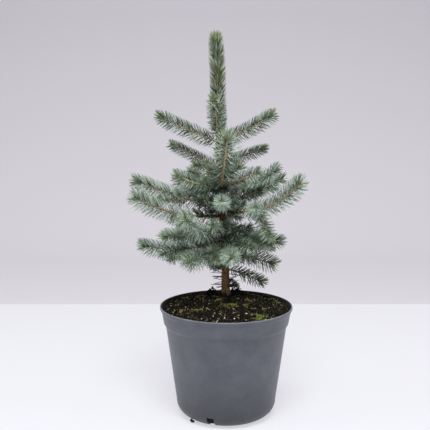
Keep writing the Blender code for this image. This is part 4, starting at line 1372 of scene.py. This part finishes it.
def make_plant():
    """Trunk, boughs, shoots, buds and needles."""
    shoots = [trunk_shoot("leader", 0, LEADER_FOOT - 8 * MM, TREE_HEIGHT + 2 * MM, LEADER_NEEDLE,
                          "leader", 0, LEADER_ANGLES, LEADER_DENSITY)]
    boughs = {}
    for limb in LIMBS:
        bough, grown = limb_shoots(limb)
        if bough is not None:
            boughs[limb.name] = bough
        shoots += grown + finer_twigs(limb, grown[0])
    shoots += trunk_twigs()
    wood, foot = old_wood(boughs)
    heights = np.arange(0, TREE_HEIGHT, 4 * MM)
    solid = [(trunk_middle(heights), trunk_radius(heights) * (heights < LEADER_FOOT))]
    solid += [(path, np.full(len(path), 2.6 * MM)) for path in boughs.values()]
    space = Space(shoots + [foot], solid)

    old_bark = bark_material("spruce_bark", "#261e12", "#907244", 0.88, 2.2 * MM)
    young_bark = bark_material("young_shoot_bark", "#7c6c4c", "#b5a27a", 0.7, 1.1 * MM)
    # Painted light: a paler copy of the young bark for the lit shoots in front
    lit_painted_bark = bark_material("sunny_shoot_bark", "#97855e", "#d8c595", 0.7, 1.1 * MM)
    bud_scale = bark_material("resinous_bud_scale", "#66482f", "#a67f58", 0.5, 0.9 * MM)
    make_trunk(old_bark)
    make_boughs(boughs, old_bark)
    make_twigs(shoots, [young_bark, lit_painted_bark])
    make_buds(shoots, bud_scale)
    make_needles(shoots + wood + [foot], {limb.name: limb for limb in LIMBS}, space)


# Stage, light and camera

PAPER_FOOT = 0.736
PAPER_BEND = 1.40
PAPER_CURVE = 0.25
PAPER_TOP = 2.8
PAPER_FADE = 0.90
STAGE_FRONT = -4.5
STAGE_WIDTH = 9.0
CAMERA_PLACE = (-0.0190, -1.2, 0.497)
CAMERA_PITCH = 7.37
# The sensor's width in mm, and the image's side and the focal length in pixels
SENSOR = 36
IMAGE_SIDE = 430
FOCAL_PIXELS = 722


def make_stage():
    """A pale floor, and behind it a sheet of pale paper that lies flat, curves up in a quarter
    circle and ends as a wall. It glows a little, less and less with its height."""
    floor_paint = new_material("pale_floor", "#8e8e92", 0.9, Emission_Color=linear("#f4f4fa"),
                               Emission_Strength=0.62)[0]
    wall_paint, shader, tree = new_material("pale_paper", "#a9a6ab", 0.95, Emission_Strength=1.0)
    share = share_between(tree, height_of(tree, object_place(tree)), 0, PAPER_FADE)
    colours = {"data_type": "RGBA", 6: linear("#a19fa4"), 7: linear("#7c7a7f")}
    glow = add_node(tree, "ShaderNodeMix", colours, {"Factor": share}).outputs[2]
    tree.links.new(glow, shader.inputs["Emission Color"])
    turn = np.linspace(0, math.pi / 2, 17)
    depth = [STAGE_FRONT, PAPER_FOOT, *(PAPER_BEND + PAPER_CURVE * np.sin(turn)),
             PAPER_BEND + PAPER_CURVE]
    height = [0, 0, *(PAPER_CURVE - PAPER_CURVE * np.cos(turn)), PAPER_TOP]
    points = np.zeros((len(depth), 2, 3))
    points[..., 0] = (-STAGE_WIDTH / 2, STAGE_WIDTH / 2)
    points[..., 1] = np.array(depth)[:, None]
    points[..., 2] = np.array(height)[:, None] - 0.05 * MM
    row = np.arange(len(depth) - 1)[:, None] * 2
    faces = np.concatenate([row, row + 1, row + 3, row + 2], 1)
    which = row[:, 0] > 0
    new_piece("floor", points.reshape(-1, 3), [faces], [floor_paint, wall_paint], which)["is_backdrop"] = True


def area_light(name, place, target, size, power):
    """A soft square white light at a place, turned to a target."""
    data = bpy.data.lights.new(name, "AREA")
    data.shape = "SQUARE"
    data.size = size
    data.energy = power
    light = linked(name, data)
    light.location = place
    way = unit(np.array(target) - np.array(place))
    light.rotation_euler = (math.acos(-way[2]), 0, math.atan2(way[1], way[0]) - math.pi / 2)


def make_light():
    """Plain soft studio light: a broad sheet overhead, one at each side and a pale surround."""
    world = bpy.data.worlds.new("surround")
    world.use_nodes = True
    surround = world.node_tree.nodes["Background"]
    surround.inputs["Color"].default_value = (0.96, 0.96, 1.0, 1)
    surround.inputs["Strength"].default_value = 0.30
    bpy.context.scene.world = world
    area_light("overhead", (0.0, -0.75, 1.60), (0, 0, 0.30), 0.7, 27.5)
    area_light("left_side", (-1.4, -0.3, 0.8), (0, 0, 0.3), 0.9, 7)
    area_light("right_side", (1.4, -0.3, 0.8), (0, 0, 0.3), 0.9, 6)


def make_camera():
    """The photograph's viewpoint: a little above the crown's middle, looking slightly down."""
    data = bpy.data.cameras.new("camera")
    data.sensor_width = SENSOR
    data.lens = FOCAL_PIXELS / IMAGE_SIDE * SENSOR
    camera = linked("camera", data)
    camera.location = CAMERA_PLACE
    camera.rotation_euler = (math.radians(90 - CAMERA_PITCH), 0, 0)
    bpy.context.scene.camera = camera


bpy.context.scene.view_settings.view_transform = "Standard"
make_camera()
make_stage()
make_light()
make_pot()
make_soil()
make_crumbs()
make_notch_peat()
make_perlite()
make_moss()
make_litter()
make_plant()

boxes = {"cad": cad_box, "visual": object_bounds()}
boxes = {name: [[float(v) for v in corner] for corner in box] for name, box in boxes.items()}
